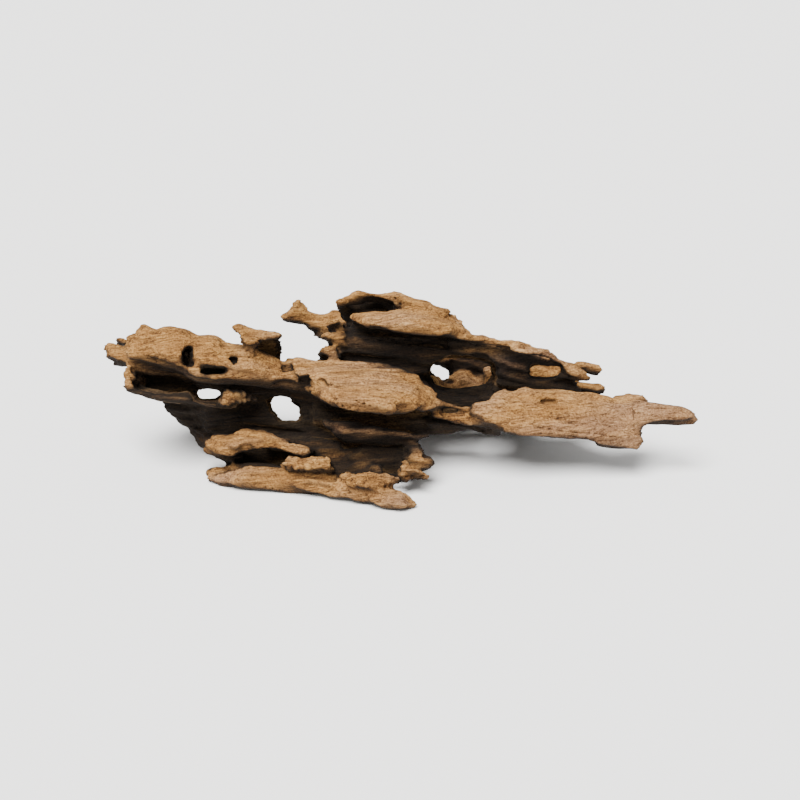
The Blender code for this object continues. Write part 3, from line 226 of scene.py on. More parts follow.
# Limbs that run along the grain. Each name has its lean, which is the angle in degrees that its
# section's top leans away from the eye, and its sections from left to right:
# (across, top, bottom) in view pixels, then (depth, half thickness) in millimetres.
LIMBS = {
    "arm roof": (30, [
        (125.5, 338, 366, 8, 7), (130, 334.5, 366, 7, 9), (140, 331, 365, 6, 10), (155, 331, 368, 5, 11),
        (165, 327, 370.5, 4, 12), (172, 325.5, 372, 4, 12), (182, 328.5, 374.5, 3, 13),
        (190, 331.5, 379, 2, 12), (197, 336, 382, 1, 11), (216, 336.5, 384, 0, 11),
        (228, 343, 384, 0, 10), (245, 345, 384, 0, 10), (260, 350, 386, 1, 10), (272, 356, 388, 2, 10),
        (283, 362, 390, 3, 10), (300, 364, 393, 4, 9), (318, 368, 395, 6, 6),
    ]),
    "arm underside": (-50, [
        (192, 370, 388, 4, 4), (205, 372, 389, 6, 6), (222, 374, 394, 8, 7), (240, 376, 396, 10, 7),
        (262, 378, 396, 11, 8), (285, 382, 397, 11, 8), (305, 384, 398, 10, 6),
    ]),
    "arm spike": (20, [
        (137, 326, 328, 8, 1.5), (140, 325, 334, 8, 3), (146, 325.5, 338, 8, 5), (151, 328, 340, 8, 6),
        (158, 331, 345, 8, 6),
    ]),
    "arm knob": (10, [
        (102, 347.5, 351, 18, 3), (105, 345, 355, 18, 6), (109, 343.5, 359, 17, 8),
        (113, 344, 361, 16, 9), (118, 345.5, 364, 15, 9), (125, 347, 367, 13, 9), (140, 348, 369, 10, 8),
    ]),
    "arm knob heel": (10, [
        (109, 361.5, 365, 18, 2), (113, 360, 367.5, 17, 4), (120, 360, 369, 15, 6),
        (130, 361, 370, 12, 6),
    ]),
    "arm bud": (0, [
        (113.5, 340, 342.5, 28, 2), (116, 338.5, 344, 28, 4), (121, 338.8, 345, 27, 4.5),
        (127, 340.5, 346, 24, 5), (138, 341, 348, 18, 5),
    ]),
    "arm rim": (-12, [
        (121.5, 386, 388.5, -2, 3), (127, 383, 391, -3, 6), (133, 385, 392.5, -4, 8),
        (140, 386, 396, -5, 9), (150, 389, 399.5, -6, 9), (160, 391, 401.5, -6, 9),
        (172, 391.5, 402.5, -6, 9), (182, 390.5, 402.5, -6, 9), (190, 391, 403, -6, 8),
        (197, 398, 404.5, -6, 8), (206, 400, 406, -6, 8), (216, 400, 407.5, -5, 8),
        (226, 400, 408.5, -3, 8), (240, 399, 407, 1, 6),
    ]),
    "arm back strand": (-20, [
        (150, 366, 380, 33, 4), (172, 358, 376, 38, 7), (196, 354, 374, 39, 7), (222, 358, 378, 38, 7),
        (250, 366, 386, 37, 7), (280, 372, 394, 36, 8), (312, 380, 404, 36, 8), (336, 388, 412, 38, 7),
    ]),
    "membrane strand": (-28, [
        (178, 402, 412, 28, 4), (200, 405, 420, 28, 7), (228, 411, 430, 28, 9), (262, 416, 437, 29, 9),
        (300, 420, 441, 32, 9), (335, 422, 441, 36, 9),
    ]),
    "membrane heel": (-10, [
        (206, 430, 442, 22, 4), (224, 432, 446, 24, 8), (250, 436, 448, 26, 8), (276, 436, 447, 28, 7),
        (300, 434, 443, 30, 5),
    ]),
    "arm end post": (15, [
        (124, 364, 389, 0, 5), (127, 362, 391, 0, 7), (134, 362, 391, 1, 7), (138.5, 364, 390, 3, 5),
    ]),
    "arm back wall": (-10, [
        (133, 360, 388, 16, 5), (140, 356, 393, 20, 8), (150, 350, 397, 23, 10), (165, 346, 400, 24, 11),
        (185, 344, 401, 25, 11), (205, 346, 403, 26, 11), (225, 350, 404, 26, 10),
        (245, 354, 405, 26, 10), (270, 360, 404, 24, 10), (300, 364, 402, 22, 10),
    ]),
    "horn": (24, [
        (230.5, 327, 330, 2, 2), (233.5, 325, 332, 1, 4), (238, 324.5, 334.5, 0, 5),
        (243, 325, 345, 0, 6), (248, 327.5, 352, 1, 7), (254, 329.5, 353, 1, 7), (259, 330.5, 346, 0, 6),
        (264, 331.5, 340.5, 0, 5), (270, 332.5, 339, 0, 4), (277, 333.5, 337.5, 0, 3),
        (284, 334.5, 336.5, 0, 2),
    ]),
    "horn back wall": (-45, [
        (248, 338, 358, 15, 5), (256, 337, 360, 17, 5), (266, 337, 362, 18, 6), (273, 337, 364, 18, 6),
        (278, 337, 364, 18, 5), (282, 338, 363, 18, 3),
    ]),
    "arm crumb": (40, [
        (215.5, 402, 407, -7, 3), (220, 396, 409, -8, 6), (225, 390, 409.5, -9, 7),
        (231, 389, 406, -8, 8), (240, 390, 402.5, -6, 8), (248, 392, 402, -4, 7),
        (255, 395, 401.5, -1, 6), (261, 398, 401, 3, 4),
    ]),
    "left membrane": (-25, [
        (161, 399, 403, 21, 4), (167, 397, 408, 21, 5), (172, 396, 418, 21, 6), (178, 396, 423, 21, 7),
        (186, 396, 427, 20, 7), (193, 396, 436, 19, 7), (198, 396, 447, 16, 7), (206, 396, 451, 14, 8),
        (216, 396, 456, 12, 8), (228, 396, 459, 11, 8), (250, 396, 459, 11, 8), (280, 396, 459, 11, 8),
        (310, 396, 459, 11, 8), (340, 394, 459, 10, 8),
    ]),
    "shelf": (58, [
        (202, 440, 444, -8, 2), (206, 437, 449, -12, 4), (214, 434, 453, -16, 6),
        (222, 432, 456, -18, 6.5), (230, 431, 456, -19, 6.5), (238, 430, 454, -20, 6),
        (249, 428, 451, -20, 6), (256, 430.5, 450, -20, 5.5), (265, 430.5, 449, -20, 5),
        (275, 435, 451, -19, 4.5), (284, 437, 452, -18, 4), (291, 438.5, 450, -16, 3),
    ]),
    "shelf keel": (0, [
        (203, 446, 451, -8, 3), (212, 446, 454, -11, 6), (220, 448, 459, -13, 8), (228, 450, 462, -14, 8),
        (236, 452, 463, -14, 7), (246, 453, 461, -13, 5),
    ]),
    "shelf tab": (58, [
        (272, 442, 449, -20, 3), (284, 443.5, 453, -23, 5), (290, 444.5, 454, -24, 5),
        (297, 445, 456, -24, 5), (305, 446, 458, -23, 5), (311, 446.5, 458, -22, 4.5),
        (315.5, 448, 453, -20, 2),
    ]),
    "shelf bridge": (30, [
        (262, 436, 450, -12, 6), (290, 440, 456, -10, 9), (316, 442, 466, -10, 10),
        (345, 442, 470, -10, 10),
    ]),
    "shelf root": (0, [
        (225, 440, 462, -1, 7), (250, 438, 463, 0, 9), (280, 438, 464, 0, 10), (320, 436, 468, -3, 14),
        (345, 436, 472, -6, 14),
    ]),
    "ground web": (50, [
        (224, 460, 466, -11, 6), (240, 458, 469, -11, 8), (260, 458, 471, -12, 9),
        (290, 456, 474, -13, 10), (320, 454, 479, -16, 12), (345, 456, 483, -20, 12),
        (365, 460, 486, -28, 11), (384, 466, 490, -36, 9),
    ]),
    "bottom limb": (56, [
        (203.5, 473, 477, -16, 2), (206, 471, 480, -18, 4), (211, 468.5, 483.5, -20, 5.5),
        (220, 467, 486, -22, 6), (232, 465, 488.5, -25, 7), (245, 463.5, 489.5, -27, 7),
        (260, 464.5, 490, -28, 7), (280, 465, 491, -30, 7), (300, 466, 492.5, -32, 7.5),
        (320, 468, 494.5, -35, 7.5), (338, 476, 497.5, -40, 7.5), (355, 484, 500.5, -45, 7),
        (370, 488, 504, -49, 7), (382, 489, 507.5, -52, 7), (395, 489.5, 509, -53, 6.5),
        (404, 493.5, 509, -54, 5.5), (411, 498.5, 508.5, -54, 4), (417, 503, 507, -54, 2),
    ]),
    "bottom lump": (30, [
        (281, 464, 468, -30, 3), (286, 459, 472, -31, 7), (295, 457.5, 475, -32, 9),
        (305, 457.5, 477, -33, 10), (318, 456.5, 478, -34, 10), (328, 457.5, 478, -35, 9),
        (333, 461, 476, -36, 6), (336, 466, 474, -36, 3),
    ]),
    "lower shelf": (50, [
        (337, 474, 480, -40, 4), (344, 472.5, 487, -44, 7), (358, 472, 490, -47, 8),
        (372, 472.5, 490.5, -48, 8), (384, 473.5, 490.5, -48, 7), (394, 474, 487, -45, 6),
        (402, 471, 482, -41, 5),
    ]),
    "lower spike": (20, [
        (396, 461, 485, -32, 5), (400, 460, 484, -34, 6), (405, 462, 482.5, -35, 6),
        (412, 465.5, 480.5, -36, 6), (419, 469, 479.5, -37, 5), (426, 472, 479, -38, 3.5),
        (430, 474.5, 478, -38, 2), (432.5, 475.5, 477, -38, 1),
    ]),
    "upper spike": (-5, [
        (402, 446, 470, -20, 6), (408, 443.5, 474, -22, 8), (413, 442, 475, -23, 8),
        (418, 443, 474, -24, 7), (422, 449, 472, -25, 6.5), (427, 456, 470.5, -26, 6),
        (431, 459, 467, -27, 4), (435, 460, 462.5, -27, 1.5),
    ]),
    "column": (-18, [
        (328, 440, 472, -4, 6), (336, 440, 476, -7, 10), (350, 440, 480, -10, 13),
        (370, 440, 482, -12, 14), (390, 440, 482, -12, 14), (405, 440, 478, -12, 12),
        (414, 441, 470, -12, 9), (418, 443, 458, -12, 5),
    ]),
    "middle rib": (25, [
        (320.5, 417, 424, -12, 3), (328, 418, 430, -14, 5), (335, 419.5, 438, -16, 7),
        (345, 420.5, 442, -17, 7.5), (360, 423, 444, -18, 7.5), (380, 426.5, 444, -19, 7.5),
        (400, 429.5, 444, -19, 7), (415, 431.5, 442.5, -18, 6), (425, 432, 438.5, -17, 4),
        (434.5, 432.5, 434.5, -15, 1.5),
    ]),
    "recess wall": (-35, [
        (312, 398, 420, 6, 6), (330, 400, 428, 5, 9), (350, 400, 434, 4, 12), (380, 400, 436, 3, 13),
        (410, 400, 436, 3, 12), (430, 402, 434, 4, 10), (440, 404, 431, 7, 6),
    ]),
    "tongue": (56, [
        (283, 362, 368, 8, 3), (288, 358.5, 374, 5, 4.5), (294, 356, 379, 2, 5.5), (302, 357, 386, -2, 6),
        (310, 359, 393, -5, 6.5), (320, 360, 398, -8, 6.5), (332, 359, 405, -11, 6.5),
        (345, 359.5, 409.5, -13, 6.5), (362, 361, 411.5, -14, 6.5), (380, 363, 414.5, -15, 6.5),
        (392, 366, 415, -15, 6.5), (405, 370, 413, -14, 6.5), (417, 374, 412, -13, 6),
        (427, 384, 411.5, -10, 5.5), (437, 393, 411, -8, 5), (446, 399, 411, -6, 4),
        (455, 403.5, 412, -4, 3.5), (462, 405.5, 413, -2, 3),
    ]),
    "core": (0, [
        (288, 368, 396, 14, 8), (320, 361, 404, 14, 12), (340, 358.5, 408, 16, 14),
        (360, 359, 410, 15, 15), (380, 362, 411, 14, 15), (400, 366, 412, 13, 14),
        (424, 380, 412, 12, 12), (436, 394, 412, 10, 7),
    ]),
    "connector": (-30, [
        (424, 412, 424, -4, 5), (432, 413, 433, -2, 7), (442, 413, 433.5, 0, 8), (452, 413, 433.5, 1, 8),
        (462, 412, 433, 1, 8), (472, 410, 433, 0, 8), (482, 412, 434, -3, 8), (492, 412, 435, -6, 8),
        (504, 415, 436.5, -8, 7),
    ]),
    "plate": (22, [
        (469.5, 409, 415, -14, 2), (472.5, 404.5, 419, -14, 4), (479, 402.5, 421, -14, 5),
        (486, 399, 424.5, -13, 6), (492, 395, 428, -12, 7), (498, 389.5, 432, -11, 7),
        (503, 384.5, 435, -10, 7), (508, 386.5, 436.5, -10, 7), (512, 389.5, 437, -10, 7),
        (518, 385.5, 438, -10, 7), (525, 384, 438.5, -9, 7), (532, 386.5, 438.5, -9, 7),
        (560, 388.5, 440.5, -8, 7), (570, 390, 440.5, -8, 7), (580, 394, 440.5, -8, 7),
        (588, 393, 441, -8, 7), (597, 394.5, 446, -8, 7), (612, 396, 447.5, -8, 7),
        (625, 397.5, 448, -8, 7), (635, 399, 448.5, -8, 6), (640, 400, 447.5, -8, 5),
        (644, 407, 443, -8, 3),
    ]),
    "plate tip": (15, [
        (628, 399, 428, -8, 7), (640, 400, 427, -8, 7), (650, 401, 424, -8, 6.5),
        (665, 402.5, 423.5, -8, 6), (680, 404, 424.5, -8, 6), (687, 406.5, 424.5, -8, 5.5),
        (692, 410.5, 424, -8, 5), (696, 415, 423, -8, 3.5), (698, 418, 421, -8, 1.5),
    ]),
    "plate root": (0, [
        (488, 396, 424, 4, 8), (500, 394, 428, 7, 12), (520, 394, 432, 8, 13), (550, 396, 434, 8, 13),
        (580, 400, 434, 5, 10), (602, 404, 436, 0, 6),
    ]),
    "plate sliver": (20, [
        (612, 398, 410, 6, 3), (620, 396, 410, 6, 4), (627, 394, 410, 6, 4), (636, 395, 410, 6, 4),
        (643, 397, 409, 6, 3), (648, 400, 408, 6, 2),
    ]),
    "cap roof": (32, [
        (334, 299, 303, 24, 3), (337, 297, 305.5, 24, 6), (343, 294, 306, 24, 8), (350, 292, 305, 25, 9),
        (360, 291.5, 304.5, 26, 9), (370, 290.5, 304, 27, 9), (380, 290.5, 305, 27, 9),
        (390, 291, 310, 26, 9), (400, 292, 318, 24, 10), (410, 294.5, 323, 22, 10),
        (420, 298, 326, 20, 10), (430, 303.5, 328, 19, 10), (440, 308, 330, 18, 9),
        (448, 310.5, 330, 18, 8), (453, 313.5, 329, 19, 6), (458, 317, 328, 20, 4),
    ]),
    "cap end wall": (-20, [
        (337, 300, 308, 30, 3), (340, 299, 315, 31, 4), (344, 299, 320, 31, 5), (348, 300, 321, 33, 5),
        (354, 300, 318, 37, 6), (360, 301, 316, 40, 6),
    ]),
    "cap back wall": (-15, [
        (345, 298, 330, 38, 8), (370, 297, 336, 39, 11), (395, 298, 340, 38, 11), (415, 302, 342, 36, 10),
        (432, 310, 344, 33, 8),
    ]),
    "cap jag": (0, [
        (450, 314, 326, 24, 5), (456, 316, 328, 25, 4), (460, 319, 328, 25, 3), (464, 326, 329.5, 25, 2),
        (468, 326.5, 328.5, 25, 1),
    ]),
    "ledge": (62, [
        (325, 322.5, 328, 18, 4), (330, 321.5, 328.5, 17, 4.5), (338, 319.5, 327, 16, 4.5),
        (346, 317, 322, 14, 3.5), (352, 315, 324, 12, 5), (360, 313, 326, 10, 6), (370, 313, 328, 8, 6.5),
        (380, 313, 330.5, 7, 7), (392, 311, 333, 6, 7.5), (405, 310, 334.5, 5, 8), (420, 313, 336, 5, 8),
        (435, 316, 337, 5, 8), (450, 319, 338.5, 6, 8), (462, 326, 340.5, 8, 7), (474, 334, 343, 10, 5),
        (490, 338.5, 342.5, 10, 3),
    ]),
    "ledge root": (20, [
        (350, 314, 326, 22, 7), (370, 312, 328, 22, 10), (400, 312, 334, 20, 11), (430, 316, 338, 20, 11),
        (455, 324, 340, 20, 9),
    ]),
    "bar": (45, [
        (464, 330, 342, 14, 5), (472, 334, 343, 13, 5), (484, 337.5, 344, 12, 4.5),
        (496, 339, 346, 11, 5), (504, 340, 351, 10, 6), (512, 340, 356, 9, 7), (520, 340.5, 358, 8, 7),
        (530, 344.5, 358.5, 8, 7), (540, 348, 360, 8, 7), (548, 350, 362, 9, 7), (556, 355.5, 365, 10, 6),
        (565, 361, 369.5, 11, 6), (574, 364, 373.5, 12, 5), (582, 369, 378, 12, 4),
        (588, 374, 380, 12, 2.5), (591, 377, 379, 12, 1),
    ]),
    "flank": (-30, [
        (333, 343, 352, 19, 3), (337, 337, 358, 20, 7), (345, 330, 364, 22, 10), (355, 322, 367, 23, 11),
        (370, 322, 369, 23, 12), (385, 325, 372, 23, 12), (400, 328, 376, 23, 12),
        (415, 330, 378, 23, 12), (428, 332, 374, 22, 11), (440, 334, 364, 21, 10), (450, 336, 358, 21, 9),
        (462, 338, 354, 20, 8),
    ]),
    "end flake top": (20, [
        (323, 324, 327, 22, 2), (328, 322.5, 329, 22, 4), (335, 322, 331, 22, 5), (348, 322, 333, 22, 5),
    ]),
    "end flake middle": (20, [
        (320, 336.5, 340, 18, 2), (324, 334, 343, 18, 4), (330, 331.5, 347, 18, 6),
        (337, 329.5, 350, 18, 7), (350, 328.5, 352, 18, 7),
    ]),
    "end flake low": (10, [
        (316, 354, 358, 14, 3), (319.5, 350.5, 360, 14, 6), (325, 348, 360.5, 13, 8),
        (331, 348, 362.5, 12, 9), (342, 350, 364, 12, 9),
    ]),
    "right wall": (-30, [
        (489, 352, 396, 16, 5), (496, 346, 401, 18, 8), (510, 348, 403, 19, 8), (530, 352, 403, 19, 8),
        (550, 356, 403, 19, 8), (565, 361, 403, 19, 7), (572, 368, 401, 18, 6), (577, 381, 400, 17, 4),
        (582, 390, 399, 16, 3),
    ]),
    "ring": (-10, [
        (420, 352, 392, 28, 5), (430, 348, 396, 28, 7), (445, 346, 398, 28, 8), (465, 346, 400, 28, 8),
        (485, 348, 398, 28, 8), (497, 350, 394, 28, 8), (505, 354, 390, 26, 6),
    ]),
    "back foot": (-25, [
        (330, 412, 432, 38, 5), (345, 408, 436, 43, 8), (372, 404, 435, 50, 10), (400, 405, 429, 55, 10),
        (430, 401, 426, 57, 11), (462, 405, 425, 55, 9), (500, 400, 427, 56, 11), (536, 404, 432, 56, 10),
        (566, 402, 433, 53, 10), (596, 406, 431, 50, 8), (614, 410, 428, 47, 4),
    ]),
    "back strand": (-5, [
        (318, 380, 398, 36, 4), (340, 374, 398, 44, 7), (368, 368, 392, 50, 9), (396, 372, 392, 54, 8),
        (424, 378, 400, 53, 8), (452, 381, 396, 54, 7), (480, 376, 394, 55, 8), (508, 374, 395, 52, 9),
        (538, 376, 392, 48, 7), (560, 386, 400, 42, 6), (576, 392, 402, 34, 4),
    ]),
    "back strand rise left": (0, [
        (352, 344, 384, 48, 7), (366, 348, 412, 50, 9), (378, 360, 418, 51, 7),
    ]),
    "back strand rise middle": (0, [
        (424, 356, 386, 52, 6), (438, 352, 420, 54, 9), (452, 384, 420, 54, 6),
    ]),
    "back strand rise right": (0, [
        (512, 352, 392, 48, 7), (524, 366, 420, 50, 9), (538, 384, 416, 50, 6),
    ]),
    "back beam": (10, [
        (320, 316, 329, 60, 5), (327, 313, 333, 59, 7), (333, 310.5, 336, 58, 8),
        (340, 310.5, 340, 57, 9), (352, 313, 346, 56, 10), (372, 318, 352, 54, 10),
        (396, 322, 354, 50, 11), (412, 326, 356, 44, 10), (424, 330, 358, 36, 8),
    ]),
    "fork": (0, [
        (279.5, 315.5, 318.5, 62, 2), (283, 314, 320, 62, 4), (288, 311, 321, 62, 5.5),
        (293, 307, 321.5, 62, 6.5), (299, 306, 322, 62, 7), (304, 310, 323.5, 62, 6.5),
        (311, 313, 328, 61, 6), (318, 315, 331, 60, 6), (326, 316, 334, 59, 6), (336, 318, 336, 58, 6),
    ]),
    "fork heel": (0, [
        (305, 325, 328, 58, 2), (309, 324, 330.5, 58, 4), (314, 325, 333, 58, 5), (318, 326, 338, 58, 5),
        (325, 326, 339, 57, 6), (334, 327, 340, 56, 6),
    ]),
    "back twig": (10, [
        (556, 364, 378, 45, 5), (564, 363, 377, 43, 6), (572, 361.5, 373, 38, 6),
        (580, 361.5, 371.5, 35, 5.5), (590, 363.5, 373, 34, 4.5), (598, 365, 374, 34, 4),
        (603, 367.5, 373, 34, 2.5),
    ]),
    "back stub": (10, [
        (566, 382, 398, 27, 6), (580, 383, 398, 28, 6), (592, 385, 398, 28, 6), (600, 385, 396, 28, 5),
        (604, 386.5, 392, 28, 3), (606, 387.5, 389, 28, 1),
    ]),
    "cross web left": (0, [
        (300, 404, 440, 30, 8), (315, 398, 440, 34, 12), (335, 396, 440, 36, 12), (350, 396, 436, 38, 8),
    ]),
    "cross web middle": (0, [
        (384, 352, 412, 34, 12), (398, 350, 420, 38, 16), (412, 352, 418, 38, 14), (422, 356, 408, 36, 8),
    ]),
    "cross web right": (0, [
        (498, 366, 424, 30, 12), (510, 362, 428, 34, 16), (522, 364, 430, 36, 14), (532, 376, 428, 36, 8),
    ]),
    "connector ridge": (50, [
        (428, 407, 415, -12, 3), (436, 410.5, 419, -12, 4), (445, 413, 422, -11, 4.5),
        (456, 413, 424, -10, 5), (466, 409, 425, -10, 6), (476, 405, 426, -11, 7),
        (488, 402, 428, -11, 7),
    ]),
    "connector back": (40, [
        (436, 402, 412, 0, 4), (446, 402, 411, 2, 5), (458, 404, 411, 2, 5), (470, 404, 412, 0, 5),
        (480, 402, 412, -4, 5),
    ]),
    "bar shade": (-35, [
        (446, 330, 356, 19, 7), (456, 332, 358, 18, 9), (470, 336, 359, 18, 9), (486, 340, 364, 18, 9),
        (500, 342, 372, 18, 9), (520, 345, 378, 18, 8), (540, 352, 378, 18, 7), (556, 358, 376, 18, 6),
    ]),
    "back beam right": (40, [
        (490, 344, 362, 32, 6), (502, 347, 368, 40, 8), (516, 352, 376, 47, 8), (532, 355, 384, 51, 8),
        (550, 358, 388, 50, 8), (566, 366, 391, 43, 8), (582, 384, 395, 34, 6),
    ]),
    "arm floor": (8, [
        (126, 384, 391, 6, 6), (136, 388, 395, 8, 9), (150, 393, 399.5, 9, 12), (165, 396, 402, 9, 13),
        (185, 396, 403.5, 9, 13), (200, 400, 405.5, 9, 12), (218, 401, 407.5, 10, 12),
        (235, 400, 408, 11, 12),
    ]),
    "horn roof": (0, [
        (250, 333, 341, 6, 8), (258, 332.5, 340, 8, 10), (268, 333, 338.8, 9, 10),
        (276, 333.8, 338, 9, 9), (284, 334.5, 337.5, 9, 6),
    ]),
    "column foot": (20, [
        (322, 470, 480, -26, 8), (340, 473, 484, -30, 12), (370, 474, 485, -32, 13),
        (395, 474, 483, -32, 11), (408, 474, 480, -30, 7),
    ]),
    "arm ceiling": (-55, [
        (128, 361, 370, 3, 5), (145, 361, 373, 6, 7), (160, 364, 375, 7, 8), (175, 367, 377.5, 8, 8),
        (190, 371, 382, 8, 8), (205, 377, 387, 8, 8), (222, 380, 390, 8, 7),
    ]),
    "arm cheek": (0, [
        (131, 363, 390, 4, 5), (138, 364, 391, 6, 6), (144, 366, 391, 11, 6), (150, 368, 391, 16, 6),
        (156, 370, 391, 20, 5),
    ]),
    "bar hook": (38, [
        (550, 354, 366, 13, 6), (558, 359, 371.5, 13, 7), (566, 363.5, 377, 13, 7),
        (573, 365.5, 380.5, 13, 7), (580, 368.5, 381.5, 13, 6.5), (585, 372, 381, 13, 5),
        (589, 375.5, 380, 13, 3), (591.5, 377.5, 379, 13, 1.5),
    ]),
}

# Limbs that show inside a hollow, and that the hollows don't cut
INNER_LIMBS = {
    "arm barrel": (24, [
        (188, 345, 367, 7, 4), (192, 340, 370, 4, 8), (199, 337, 372, 2, 10), (212, 336.5, 372.5, 1, 11),
        (222, 338.5, 372, 2, 10), (228, 343, 369, 3, 7), (231.5, 349, 363, 5, 3),
    ]),
    "tunnel floor": (-35, [
        (426, 382, 412, 20, 4), (434, 386, 414, 20, 7), (446, 389, 415, 20, 8), (460, 390, 415, 20, 8),
        (476, 389.5, 415, 20, 8), (488, 386, 412, 20, 7), (500, 378, 408, 18, 5),
    ]),
    "far lump": (45, [
        (445, 381, 394, 56, 4), (449, 377, 396, 57, 6), (454, 373, 397, 58, 7), (460, 371, 398, 58, 8),
        (467, 371.5, 398, 58, 8), (473, 376, 398, 57, 7), (480, 384, 396, 55, 5),
    ]),
    "far wall": (-30, [
        (428, 350, 361, 60, 3), (437, 348, 364.5, 63, 5), (444, 346, 368, 66, 6), (449, 344, 374, 68, 6),
        (452, 343, 384, 69, 6), (460, 342, 389, 70, 7), (475, 340, 390, 69, 7), (492, 344, 392, 66, 7),
        (506, 350, 392, 60, 8), (520, 356, 390, 52, 7),
    ]),
    "tunnel sill": (62, [
        (430, 371, 379, 44, 3), (434, 375, 386, 46, 4), (440, 380, 391, 47, 4.5),
        (448, 383.5, 393, 48, 5), (460, 385, 394, 48, 5), (472, 384.5, 394, 48, 5),
        (481, 381.5, 392, 47, 5), (487, 376.5, 390, 46, 4.5), (492, 369, 386, 45, 4),
    ]),
    "far spot": (50, [
        (481, 372, 378, 52, 2), (484, 367.5, 380, 52, 3), (489, 365.5, 381, 52, 3.5),
        (494, 367, 380, 51, 3), (500, 370, 378, 48, 3),
    ]),
    "tongue tail": (56, [
        (412, 372, 411, -13, 5.5), (420, 377, 411.5, -12, 5.5), (428, 385, 411.5, -11, 5),
        (435, 391, 411, -10, 4.5), (441, 396, 408, -9, 4), (448, 400.5, 407, -8, 3.5),
        (456, 404, 408.5, -7, 3.5), (464, 405, 412, -8, 4), (472, 404.5, 417, -10, 4.5),
    ]),
}

# Spurs, twigs and thorns that grow off the grain. Each is a path of points from root to tip:
# (across, down) in view pixels, then (depth, radius) in millimetres.
SPURS = {
    "fork prong": [(302, 316, 62, 5.0), (299, 309, 62, 4.4), (296.5, 304, 62, 3.6), (296, 300, 62, 2.8)],
    "fork thorn": [(320, 332, 58, 3.4), (315, 336, 58, 2.2), (312, 337.5, 58, 1.4)],
    "sliver thorn": [(641, 400, 6, 2.4), (644, 395, 6, 1.4)],
}

# Hollows that run along the grain, in the same form as the limbs.
BURROWS = {
    "arm pocket": (25, [
        (146, 377, 381, -5, 7), (150, 373.5, 386, -3, 12), (158, 371.8, 388, 0, 14),
        (170, 373.5, 388.5, 1, 15), (184, 377.5, 388, 1, 15), (196, 382, 389, 2, 14),
        (208, 385, 391, 2, 13), (219, 387, 393, 2, 9),
    ]),
    "cap recess": (-30, [
        (351, 305, 310, 14, 7), (358, 301.5, 312.5, 15, 10), (370, 301, 314, 16, 12),
        (382, 301, 315.5, 17, 12), (391, 302.5, 314.5, 18, 10), (398, 306, 312, 18, 7),
    ]),
    "tongue undercut": (-25, [
        (322, 403, 413, -22, 9), (335, 409, 418.5, -21, 14), (350, 411.5, 421, -20, 17),
        (370, 414, 424, -20, 18), (390, 416, 427.5, -20, 18), (410, 414.5, 430, -20, 16),
        (425, 414, 431, -18, 12), (433, 416, 429, -14, 7),
    ]),
    "shelf undercut": (-15, [
        (229, 461, 464, -20, 9), (240, 457, 464, -19, 14), (255, 453, 464, -18, 17),
        (270, 451.5, 464.5, -18, 18), (283, 454.5, 461, -18, 15), (290, 456.5, 459, -18, 8),
    ]),
    "bottom groove": (0, [
        (343, 489.5, 493, -50, 4), (355, 491, 498, -53, 6), (370, 491.5, 499, -56, 6.5),
        (384, 492.5, 498.5, -58, 6), (393, 494, 497, -60, 4),
    ]),
    "back gallery": (0, [
        (345, 360, 384, 42, 10), (370, 364, 388, 42, 11), (384, 368, 386, 42, 9),
    ]),
}

